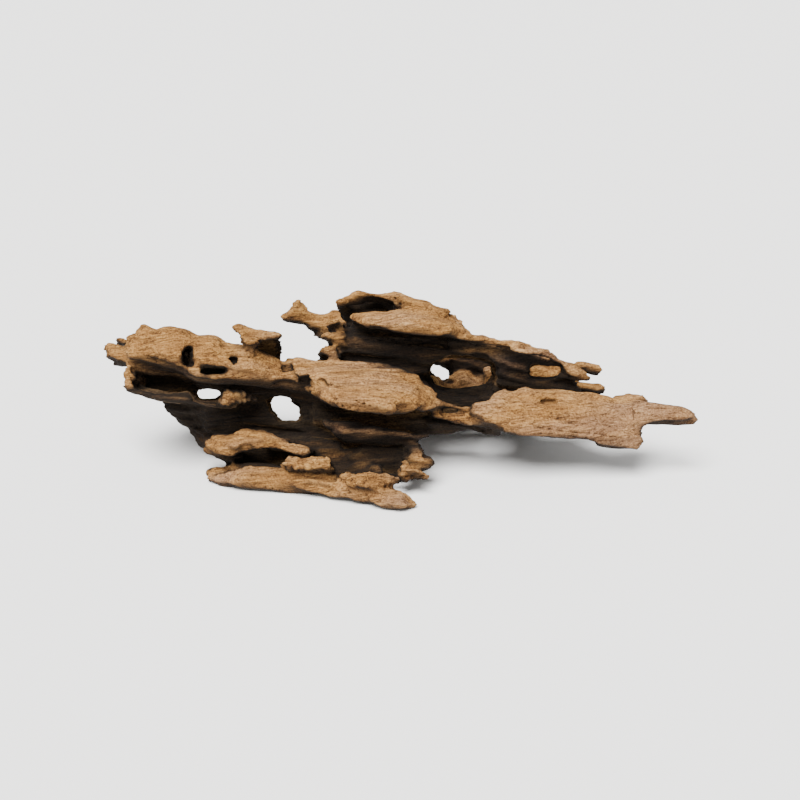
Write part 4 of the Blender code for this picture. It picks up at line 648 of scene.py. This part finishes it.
# Hollows that run along the line of sight or across the grain. Each is a path of openings:
# (across, down, half width, half height) in view pixels, then depth in millimetres.
TUNNELS = {
    "arm window": [(209, 394, 13, 6.5, -30), (209, 394, 12.3, 6.2, 5), (209, 394, 14.5, 8, 80)],
    "left window top": [(281, 404, 11.5, 9, -30), (281, 404, 12, 9.5, 80)],
    "left window low": [(289, 412.5, 12, 9.5, -30), (289, 412.5, 12.5, 10, 80)],
    "tunnel mouth": [(463, 380, 41, 29, -40), (464, 379, 35, 26, -6), (463, 377, 34, 22, 14),
                     (461, 373, 32, 15, 26), (461, 372, 30, 16, 30), (461, 372, 34, 18, 60)],
    "sky hole top": [(437, 370, 5.6, 5.4, 16), (437, 370, 6.0, 5.8, 95)],
    "sky hole low": [(442.5, 375, 5.6, 5.6, 16), (442.5, 375, 6.0, 6.0, 95)],
    "right window": [(545, 371, 17, 7, -20), (545, 371, 16.5, 6.8, 20), (545, 371, 19, 9, 33)],
    "arm crescent": [(190, 356.5, 8.5, 11, -20), (190, 356.5, 8, 10.5, 6), (191, 358, 6, 7, 15)],
    "arm slot": [(213, 371, 14, 4.5, -24), (213, 371, 13.5, 4.5, 2), (212, 371.5, 11, 4, 14)],
    "tongue pit": [(288, 368, 6, 5, -12), (288, 368, 4, 3.5, 4)],
    "tongue heel pit": [(283, 372, 6, 3, -14), (283, 372, 4, 2, 2)],
    "tongue side pit": [(304, 383, 9, 6.5, -22), (305, 382, 5, 4, -2)],
    "tongue edge pit": [(321, 382, 6, 3.2, -26), (322, 382, 4, 2, -12)],
    "connector slot": [(452, 409.5, 10.5, 3.2, -26), (452, 409.5, 10, 3, 4)],
    "plate slot": [(549, 402.5, 11, 4.2, -28), (548, 402.5, 9, 3.6, 12)],
    "shelf eye left": [(219, 445, 7, 4.5, -36), (219, 446, 5, 3, -22)],
    "shelf eye right": [(246, 447.5, 8, 4, -40), (246, 447.5, 6, 3, -22)],
    "back eye left": [(386, 338, 12, 6, 48), (386, 336, 17, 9, 80)],
    "back eye middle": [(402, 383, 13, 6, 42), (402, 382, 18, 9, 80)],
    "back door": [(560, 417, 13, 7, 44), (560, 418, 18, 11, 80)],
    "back door left": [(400, 417, 13, 6, 44), (400, 418, 19, 10, 80)],
    "back door middle": [(476, 416, 14, 6, 44), (476, 416, 20, 10, 80)],
    "arm back eye": [(226, 387, 10, 5, 30), (226, 386, 15, 8, 60)],
    "membrane eye": [(232, 434, 10, 4, 27), (232, 434, 16, 8, 60)],
    "crack": [(234.5, 360, 3.2, 8.5, -18), (233.5, 360, 2.6, 7.5, 1)],
    "tongue far pit": [(330, 385, 6, 2.6, -28), (329, 385, 3.5, 1.6, -17)],
    "crack top": [(240, 347.5, 3.2, 4, -18), (239, 348.5, 2.6, 3.4, 0)],
}


def seen(across, down, depth):
    """The point at that depth in metres, in line with a place in the front view."""
    ray = SIGHT * FOCAL + ACROSS * (across - VIEW_CENTRE) + UPWARD * (VIEW_CENTRE - down)
    return EYE + ray * ((depth - EYE.y) / ray.y)


def pixel_at(point):
    """The real size of one view pixel at a point."""
    return (point - EYE).dot(SIGHT) / FOCAL


def between(rows, along):
    """The row at a place along a list of rows that is sorted by its first column."""
    for low, high in zip(rows, rows[1:]):
        if along <= high[0]:
            share = (along - low[0]) / (high[0] - low[0])
            return [a + (b - a) * share for a, b in zip(low, high)]
    return list(rows[-1])


def squared(circle):
    """A point of a circle, moved out to a square with well rounded corners."""
    side = (abs(circle.x) ** SQUARENESS + abs(circle.y) ** SQUARENESS) ** (1 / SQUARENESS)
    return circle / side


def drawn_out(bm, section, rings):
    """Adds a ball to bm, drawn out so that section(share) gives its centre and two half axes."""
    ball = bmesh.new()
    bmesh.ops.create_uvsphere(ball, u_segments=SIDES, v_segments=rings, radius=1.0)
    for vert in ball.verts:
        centre, high, deep = section(math.acos(max(-1.0, min(1.0, vert.co.z))) / math.pi)
        way = vert.co.xy
        if way.length > POLE:
            way = squared(way)
        vert.co = centre + high * way.x + deep * way.y
    mesh = bpy.data.meshes.new("ball")
    ball.to_mesh(mesh)
    ball.free()
    bm.from_mesh(mesh)
    bpy.data.meshes.remove(mesh)


def add_limb(bm, lean, rows):
    """A limb or burrow along the grain, whose outline in the front view is the rows' outline."""
    tilt = math.radians(lean)
    high_way = UPWARD * math.cos(tilt) + SIGHT * math.sin(tilt)
    deep_way = SIGHT * math.cos(tilt) - UPWARD * math.sin(tilt)
    incline = abs(math.sin(tilt))
    limit = THICKEST / max(incline, LEAST_INCLINE)
    shared = SQUARENESS / (SQUARENESS - 1)
    first, last = rows[0][0], rows[-1][0]

    def section(share):
        across, top, bottom, depth, thickness = between(rows, first + (last - first) * share)
        centre = seen(across, (top + bottom) / 2, depth * MILLIMETRE)
        half = (bottom - top) / 2 * pixel_at(centre)
        thin = min(thickness * MILLIMETRE, limit * half)
        # The outline of a leaning section is as high as both its half axes together make it
        long = (half**shared - (thin * incline) ** shared) ** (1 / shared) / math.cos(tilt)
        return centre, high_way * long, deep_way * thin

    drawn_out(bm, section, max(LEAST_RINGS, round((last - first) / RING_STEP)))


def add_spur(bm, points):
    """A round spur through points of the front view."""
    path = [(seen(u, v, y * MILLIMETRE), radius * MILLIMETRE) for u, v, y, radius in points]
    way = (path[-1][0] - path[0][0]).normalized()
    deep_way = (SIGHT - way * SIGHT.dot(way)).normalized()
    high_way = way.cross(deep_way)
    rows = [(step, *place, radius) for step, (place, radius) in enumerate(path)]

    def section(share):
        row = between(rows, share * (len(rows) - 1))
        return Vector(row[1:4]), high_way * row[4], deep_way * row[4]

    drawn_out(bm, section, SPUR_RINGS * len(points))


def add_tunnel(bm, openings):
    """A tunnel whose openings lie one behind the other in the front view."""
    rows = [(depth, across, down, wide, high) for across, down, wide, high, depth in openings]
    first, last = rows[0][0], rows[-1][0]

    def section(share):
        depth, across, down, wide, high = between(rows, first + (last - first) * share)
        centre = seen(across, down, depth * MILLIMETRE)
        return centre, ACROSS * (wide * pixel_at(centre)), UPWARD * (high * pixel_at(centre))

    drawn_out(bm, section, max(LEAST_RINGS, round((last - first) / RING_STEP)))


def mesh_object(name, bm):
    """An object that holds a bmesh's mesh, which is then freed."""
    mesh = bpy.data.meshes.new(name)
    bm.to_mesh(mesh)
    bm.free()
    made = bpy.data.objects.new(name, mesh)
    bpy.context.scene.collection.objects.link(made)
    return made


def voxel_fused(made):
    """Gives an object a modifier that fuses all its bodies to one skin."""
    fuse = made.modifiers.new("fuse", "REMESH")
    fuse.mode = "VOXEL"
    fuse.voxel_size = VOXEL


def applied(made):
    """Bakes an object's modifiers into its mesh."""
    graph = bpy.context.evaluated_depsgraph_get()
    mesh = bpy.data.meshes.new_from_object(made.evaluated_get(graph))
    made.modifiers.clear()
    made.data = mesh


def grown_limbs():
    """All the limbs and spurs, fused."""
    bm = bmesh.new()
    for lean, rows in LIMBS.values():
        add_limb(bm, lean, rows)
    for points in SPURS.values():
        add_spur(bm, points)
    limbs = mesh_object("weathered_driftwood", bm)
    voxel_fused(limbs)
    applied(limbs)
    return limbs


def rotted_hollows():
    """All the burrows and tunnels, fused to one cutter."""
    bm = bmesh.new()
    for lean, rows in BURROWS.values():
        add_limb(bm, lean, rows)
    for openings in TUNNELS.values():
        add_tunnel(bm, openings)
    hollows = mesh_object("hollows", bm)
    voxel_fused(hollows)
    applied(hollows)
    return hollows


def cut_out(wood, hollows):
    """Cuts the hollows out of the wood, adds the limbs inside them and wears all edges a little."""
    cut = wood.modifiers.new("hollows", "BOOLEAN")
    cut.operation = "DIFFERENCE"
    cut.solver = "MANIFOLD"
    cut.object = hollows
    applied(wood)
    bpy.data.objects.remove(hollows)
    bm = bmesh.new()
    bm.from_mesh(wood.data)
    for lean, rows in INNER_LIMBS.values():
        add_limb(bm, lean, rows)
    bm.to_mesh(wood.data)
    bm.free()
    voxel_fused(wood)
    wear = wood.modifiers.new("worn edges", "SMOOTH")
    wear.factor = WEAR
    wear.iterations = WEAR_ROUNDS
    applied(wood)


def grain_place(point):
    """A point's place in the grain, in millimetres: along it, and the two ways across it."""
    x, y, z = point / MILLIMETRE
    slope = z + x * GRAIN_FALL
    sway = GRAIN_SWAY * noise.noise(Vector((x / SWAY_RUN, y / SWAY_WIDTH, slope / SWAY_WIDTH)))
    return x, y + sway, slope + sway


def ridged(place, run, width):
    """Ridges of that length and width along the grain, from about -1 to 1 with sharp crests."""
    x, across, up = place
    return 1 - CREST_SPREAD * abs(noise.noise(Vector((x / run, across / width, up / width))))


def relief(point, normal):
    """How far the eroded surface stands out at a point, in metres."""
    place = grain_place(point)
    grain = GRAIN_DEPTH * (ridged(place, GRAIN_RUN, GRAIN_WIDTH) - GRAIN_LEVEL)
    splinters = SPLINTER_DEPTH * (ridged(place, GRAIN_RUN, SPLINTER_WIDTH) - SPLINTER_LEVEL)
    crumble = CRUMBLE_DEPTH * noise.noise(point / (CRUMBLE_SIZE * MILLIMETRE))
    end_grain = normal.x**2
    deepest = DEEPEST_GROOVE + (DEEPEST_NOTCH - DEEPEST_GROOVE) * end_grain
    height = grain + (splinters - grain) * end_grain + crumble
    return max(height, -deepest) * MILLIMETRE


def raise_relief(wood):
    """Moves the surface along its normals by the relief, and closes it up again."""
    bm = bmesh.new()
    bm.from_mesh(wood.data)
    bm.normal_update()
    moves = [vert.normal * relief(vert.co, vert.normal) for vert in bm.verts]
    for vert, move in zip(bm.verts, moves):
        vert.co += move
    bm.to_mesh(wood.data)
    bm.free()
    voxel_fused(wood)
    applied(wood)


def nearest_limbs(places):
    """The name of the limb whose own surface lies nearest to each place."""
    bm = bmesh.new()
    names = []
    for name, (lean, rows) in {**LIMBS, **INNER_LIMBS}.items():
        add_limb(bm, lean, rows)
        names += [name] * (len(bm.faces) - len(names))
    tree = BVHTree.FromBMesh(bm)
    bm.free()
    return [names[tree.find_nearest(place)[2]] for place in places]


def fine_noise(place, name):
    """One of the fine relief's noises at a place in the grain, between -1 and 1."""
    x, across, up = place
    run, width, off_across, off_up = FINE_NOISES[name]
    return noise.noise(Vector((x / run, across / width + off_across, up / width + off_up)))


def fine_relief(point, normal, crumbled):
    """The fine fibres, cracks, pits and crumbs of the surface, in metres out from it."""
    place = grain_place(point)
    end_grain = normal.x**2
    bands = ridged(place, BAND_RUN, BAND_WIDTH)
    fibres = ridged(place, FIBRE_RUN, FIBRE_WIDTH)
    chips = fine_noise(place, "chips")
    crack_run = max(0.0, fine_noise(place, "crack runs") - CRACK_LEVEL)
    crack = max(0.0, 1 - abs(fine_noise(place, "crack lines")) / CRACK_WIDTH) * crack_run
    rough = max(0.0, min(1.0, PATCH_GAIN * fine_noise(place, "rough patches") - PATCH_LEVEL))
    pits = max(0.0, fine_noise(place, "pits") - PIT_LEVEL)
    crumbs = abs(fine_noise(place, "crumbs"))
    height = BAND_HEIGHT * (bands - FIBRE_LEVEL) + FIBRE_HEIGHT * (fibres - FIBRE_LEVEL)
    height += CHIP_HEIGHT * chips - CRACK_DEPTH * crack
    height += (PATCH_ROUGHNESS * rough + end_grain) * (ROUGH_CHIPS * chips - ROUGH_PITS * pits)
    height += end_grain * (END_BANDS * (bands - END_LEVEL) + END_FIBRES * (fibres - END_LEVEL))
    height += crumbled * (CRUMB_HEIGHT * crumbs - CRUMB_LEVEL + CRUMB_CHIPS * chips - CRUMB_PITS * pits)
    return height * MILLIMETRE


def raise_fine_relief(wood):
    """Moves the surface along its normals by the fine relief, and keeps the height as an attribute."""
    bm = bmesh.new()
    bm.from_mesh(wood.data)
    bm.normal_update()
    limbs = nearest_limbs([vert.co for vert in bm.verts])
    heights = [
        fine_relief(vert.co, vert.normal, CRUMBLED_LIMBS.get(limb, 0.0))
        for vert, limb in zip(bm.verts, limbs)
    ]
    moves = [vert.normal * height for vert, height in zip(bm.verts, heights)]
    for vert, move in zip(bm.verts, moves):
        vert.co += move
    bm.to_mesh(wood.data)
    bm.free()
    crest = wood.data.attributes.new("crest", "FLOAT", "POINT")
    crest.data.foreach_set("value", [height / MILLIMETRE for height in heights])


def drop_crumbs(wood):
    """Removes all bodies but the largest."""
    bm = bmesh.new()
    bm.from_mesh(wood.data)
    unseen = set(bm.verts)
    bodies = []
    while unseen:
        body = {unseen.pop()}
        edge_of_body = set(body)
        while edge_of_body:
            reached = {edge.other_vert(vert) for vert in edge_of_body for edge in vert.link_edges}
            edge_of_body = reached - body
            body |= edge_of_body
        unseen -= body
        bodies.append(body)
    bodies.sort(key=len)
    for crumb in bodies[:-1]:
        bmesh.ops.delete(bm, geom=list(crumb), context="VERTS")
    bm.to_mesh(wood.data)
    bm.free()


def thin_out(wood):
    """Takes the mesh down to its number of triangles."""
    thin = wood.modifiers.new("fewer faces", "DECIMATE")
    thin.ratio = min(1.0, TRIANGLES / sum(len(face.vertices) - 2 for face in wood.data.polygons))
    thin.use_collapse_triangulate = True
    applied(wood)


def stand_on_feet(wood):
    """Cuts the feet level, sets the wood where its solid is, and returns how far it was moved."""
    bm = bmesh.new()
    bm.from_mesh(wood.data)
    everything = bm.verts[:] + bm.edges[:] + bm.faces[:]
    sliced = bmesh.ops.bisect_plane(
        bm, geom=everything, plane_co=(0, 0, GROUND), plane_no=(0, 0, -1), clear_outer=True
    )
    rims = [item for item in sliced["geom_cut"] if isinstance(item, bmesh.types.BMEdge)]
    bmesh.ops.holes_fill(bm, edges=rims)
    bmesh.ops.triangulate(bm, faces=[face for face in bm.faces if len(face.verts) > 3])
    places = np.array([vert.co for vert in bm.verts])
    middle = (places.min(0) + places.max(0)) / 2
    low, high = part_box("honeycomb_wood")
    move = Vector(((low.x + high.x) / 2 - middle[0], (low.y + high.y) / 2 - middle[1], low.z - GROUND))
    bmesh.ops.translate(bm, verts=bm.verts[:], vec=move)
    bm.to_mesh(wood.data)
    bm.free()
    return move


def sky_directions(count):
    """Directions spread evenly over a sphere."""
    golden = math.pi * (3 - math.sqrt(5))
    made = []
    for step in range(count):
        z = 1 - 2 * (step + 0.5) / count
        ring = math.sqrt(1 - z * z)
        made.append(Vector((ring * math.cos(golden * step), ring * math.sin(golden * step), z)))
    return made


def add_shelter(wood, move):
    """Keeps on each point how much painted shade its hollow gives it: 0 is in the open, and 1 is deep
    inside.
    """
    mesh = wood.data
    places = [vert.co.copy() for vert in mesh.vertices]
    tree = BVHTree.FromPolygons(places, [face.vertices for face in mesh.polygons])
    directions = sky_directions(SKY_DIRECTIONS)
    shelter = np.zeros(len(places))
    for number, vert in enumerate(mesh.vertices):
        normal = vert.normal
        start = vert.co + normal * RAY_START
        open_sky = 0.0
        whole_sky = 0.0
        for direction in directions:
            facing = direction.dot(normal)
            if facing > GRAZING:
                whole_sky += facing * OPEN_SKY
                if tree.ray_cast(start, direction, SHELTER_REACH)[0] is None:
                    open_sky += facing * (1 + SKY_FROM_ABOVE * direction.z)
        shelter[number] = 1 - min(1.0, open_sky / max(whole_sky, LEAST_SKY))
    # Each limb adds its own painted shade, or painted light where its value is negative
    limbs = nearest_limbs([place - move for place in places])
    shelter += [LIMB_SHADES.get(limb, 0.0) for limb in limbs]
    ends = np.array([edge.vertices[:] for edge in mesh.edges])
    for _ in range(SHELTER_ROUNDS):
        total = shelter.copy()
        count = np.ones(len(shelter))
        np.add.at(total, ends[:, 0], shelter[ends[:, 1]])
        np.add.at(total, ends[:, 1], shelter[ends[:, 0]])
        np.add.at(count, ends[:, 0], 1)
        np.add.at(count, ends[:, 1], 1)
        shelter = total / count
    kept = mesh.attributes.new("shelter", "FLOAT", "POINT")
    kept.data.foreach_set("value", shelter)


def hex_colour(code):
    """An sRGB hex colour as linear values."""
    parts = [int(code[place:place + 2], 16) / 255 for place in (1, 3, 5)]
    return (*(c / 12.92 if c <= 0.04045 else ((c + 0.055) / 1.055) ** 2.4 for c in parts), 1.0)


def node(tree, kind, settings=None, inputs=None, stops=()):
    """Adds a node. Inputs are values or sockets to link, and stops are a ramp's places and colours."""
    made = tree.nodes.new(kind)
    for name, value in (settings or {}).items():
        setattr(made, name, value)
    for name, value in (inputs or {}).items():
        if isinstance(value, bpy.types.NodeSocket):
            tree.links.new(value, made.inputs[name])
        else:
            made.inputs[name].default_value = value
    for number, (place, code) in enumerate(stops):
        if number < 1:
            made.color_ramp.elements.remove(made.color_ramp.elements[-1])
            made.color_ramp.elements[0].position = place
        else:
            made.color_ramp.elements.new(place)
        made.color_ramp.elements[number].color = hex_colour(code)
    return made


def grain_patterns(tree, place):
    """The patterns of the wood's surface by name, as sockets."""
    # The grain sways by a few millimetres, as it does in the relief
    sway = node(tree, "ShaderNodeTexNoise", inputs={
        "Vector": place, "Scale": 1 / (SWAY_SIZE * MILLIMETRE), "Detail": 1.0})
    reach = SWAY_REACH * MILLIMETRE
    bent = node(tree, "ShaderNodeVectorMath", {"operation": "MULTIPLY_ADD"},
                {0: sway.outputs["Color"], 1: (0.0, reach, reach), 2: place}).outputs["Vector"]
    along = node(tree, "ShaderNodeMapping", inputs={"Vector": bent, "Rotation": (0, GRAIN_TILT, 0)})
    patterns = {
        "across": node(tree, "ShaderNodeSeparateXYZ", inputs={"Vector": place}).outputs["X"],
        "crest": node(tree, "ShaderNodeAttribute", {"attribute_name": "crest"}).outputs["Fac"],
    }
    # Each pattern of the grain is a noise drawn out along it
    for name, (length, width, detail, roughness, distortion) in GRAIN_PATTERNS.items():
        scale = Vector((1 / length, 1 / width, 1 / width)) / MILLIMETRE
        grain = node(tree, "ShaderNodeMapping", inputs={"Vector": along.outputs["Vector"], "Scale": scale})
        pattern = node(tree, "ShaderNodeTexNoise", inputs={
            "Vector": grain.outputs["Vector"], "Scale": 1.0, "Detail": detail,
            "Roughness": roughness, "Distortion": distortion})
        patterns[name] = pattern.outputs["Fac"]
    for name, source in (("patches", bent), ("grit", place)):
        size, detail, roughness = EVEN_PATTERNS[name]
        pattern = node(tree, "ShaderNodeTexNoise", inputs={
            "Vector": source, "Scale": 1 / (size * MILLIMETRE), "Detail": detail, "Roughness": roughness})
        patterns[name] = pattern.outputs["Fac"]
    return patterns


def driftwood_material():
    """Softwood bleached by sun and water: matt, with pale crests and painted shade in its hollows."""
    material = bpy.data.materials.new("bleached driftwood")
    material.use_nodes = True
    tree = material.node_tree
    tree.nodes.clear()
    place = node(tree, "ShaderNodeTexCoord").outputs["Object"]
    patterns = grain_patterns(tree, place)
    blends = {}
    for name, (level, shares) in BLENDS.items():
        for pattern, share in shares.items():
            level = node(tree, "ShaderNodeMath", {"operation": "MULTIPLY_ADD"},
                         {0: patterns[pattern], 1: share, 2: level}).outputs[0]
        blends[name] = level
    # The crests are paler than the grooves
    wood = node(tree, "ShaderNodeValToRGB", inputs={"Fac": blends["tone"]}, stops=WOOD_TONES)
    # The wood turns from golden on the left to a greyer brown on the right, in broad areas
    hue = node(tree, "ShaderNodeValToRGB", inputs={"Fac": blends["golden"]}, stops=GOLDEN_TONES)
    # Thin dark cracks follow the grain, where their pattern passes its middle
    from_middle = node(tree, "ShaderNodeMath", {"operation": "SUBTRACT"},
                       {0: patterns["cracks"], 1: NOISE_MIDDLE})
    crack_line = node(tree, "ShaderNodeMath", {"operation": "ABSOLUTE"}, {0: from_middle.outputs[0]})
    cracks = node(tree, "ShaderNodeValToRGB", inputs={"Fac": crack_line.outputs[0]}, stops=CRACK_TONES)
    # Painted shade darkens the hollows and the undersides, and their deepest walls are a dull grey
    shelter = node(tree, "ShaderNodeAttribute", {"attribute_name": "shelter"}).outputs["Fac"]
    painted_shade = node(tree, "ShaderNodeValToRGB", inputs={"Fac": shelter}, stops=PAINTED_SHADE_TONES)
    colour = wood.outputs["Color"]
    for layer, strength in ((hue, 1.0), (cracks, CRACK_STRENGTH), (painted_shade, 1.0)):
        colour = node(tree, "ShaderNodeMix", {"data_type": "RGBA", "blend_type": "MULTIPLY"}, {
            "Factor": strength, "A": colour, "B": layer.outputs["Color"]}).outputs["Result"]
    bump = node(tree, "ShaderNodeBump", inputs={
        "Strength": 1.0, "Distance": GRAIN_BUMP * MILLIMETRE, "Height": blends["bump"]})
    shader = node(tree, "ShaderNodeBsdfPrincipled", inputs={
        "Base Color": colour, "Roughness": WOOD_ROUGHNESS, "Metallic": 0.0, "IOR": WOOD_IOR,
        "Specular IOR Level": WOOD_SPECULAR, "Normal": bump.outputs["Normal"]})
    node(tree, "ShaderNodeOutputMaterial", inputs={"Surface": shader.outputs["BSDF"]})
    return material


def paper_material():
    """Matt white paper, which gives a plain pale ground with a soft shadow."""
    material = bpy.data.materials.new("matt white paper")
    material.use_nodes = True
    shader = material.node_tree.nodes["Principled BSDF"]
    shader.inputs["Base Color"].default_value = hex_colour(PAPER_COLOUR)
    shader.inputs["Roughness"].default_value = PAPER_ROUGHNESS
    return material


def driftwood():
    """The finished wood, in the place of its solid."""
    wood = grown_limbs()
    cut_out(wood, rotted_hollows())
    raise_relief(wood)
    drop_crumbs(wood)
    raise_fine_relief(wood)
    thin_out(wood)
    move = stand_on_feet(wood)
    add_shelter(wood, move)
    wood.data.materials.clear()
    wood.data.materials.append(driftwood_material())
    wood.data.shade_smooth()
    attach(wood, "root")
    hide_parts("honeycomb_wood")
    return move


def paper_floor():
    """A wide sheet of paper under the wood."""
    bm = bmesh.new()
    bmesh.ops.create_grid(bm, x_segments=1, y_segments=1, size=PAPER_REACH)
    floor = mesh_object("paper_floor", bm)
    floor.data.materials.append(paper_material())


def studio_light():
    """Plain soft light from above, and a dim pale room."""
    lamp = bpy.data.lights.new("overhead skylight", "SUN")
    lamp.angle = LAMP_SPREAD
    lamp.energy = LAMP_POWER
    holder = bpy.data.objects.new("overhead skylight", lamp)
    holder.rotation_euler = LAMP_DIRECTION.to_track_quat("-Z", "Y").to_euler()
    bpy.context.scene.collection.objects.link(holder)
    room = bpy.data.worlds.new("pale room")
    room.use_nodes = True
    backdrop = room.node_tree.nodes["Background"]
    backdrop.inputs["Color"].default_value = hex_colour(ROOM_COLOUR)
    backdrop.inputs["Strength"].default_value = ROOM_LIGHT
    bpy.context.scene.world = room


def photo_camera(move):
    """The camera at the photograph's viewing angle."""
    lens = bpy.data.cameras.new("photo camera")
    lens.sensor_width = SENSOR_WIDTH
    lens.lens = FOCAL / PHOTO_SIZE * lens.sensor_width
    lens.clip_start = NEAREST_VIEW
    camera = bpy.data.objects.new("photo camera", lens)
    turn = Matrix((ACROSS, UPWARD, -SIGHT)).transposed()
    camera.matrix_world = Matrix.Translation(EYE + move) @ turn.to_4x4()
    bpy.context.scene.collection.objects.link(camera)
    bpy.context.scene.camera = camera


move = driftwood()
paper_floor()
studio_light()
photo_camera(move)
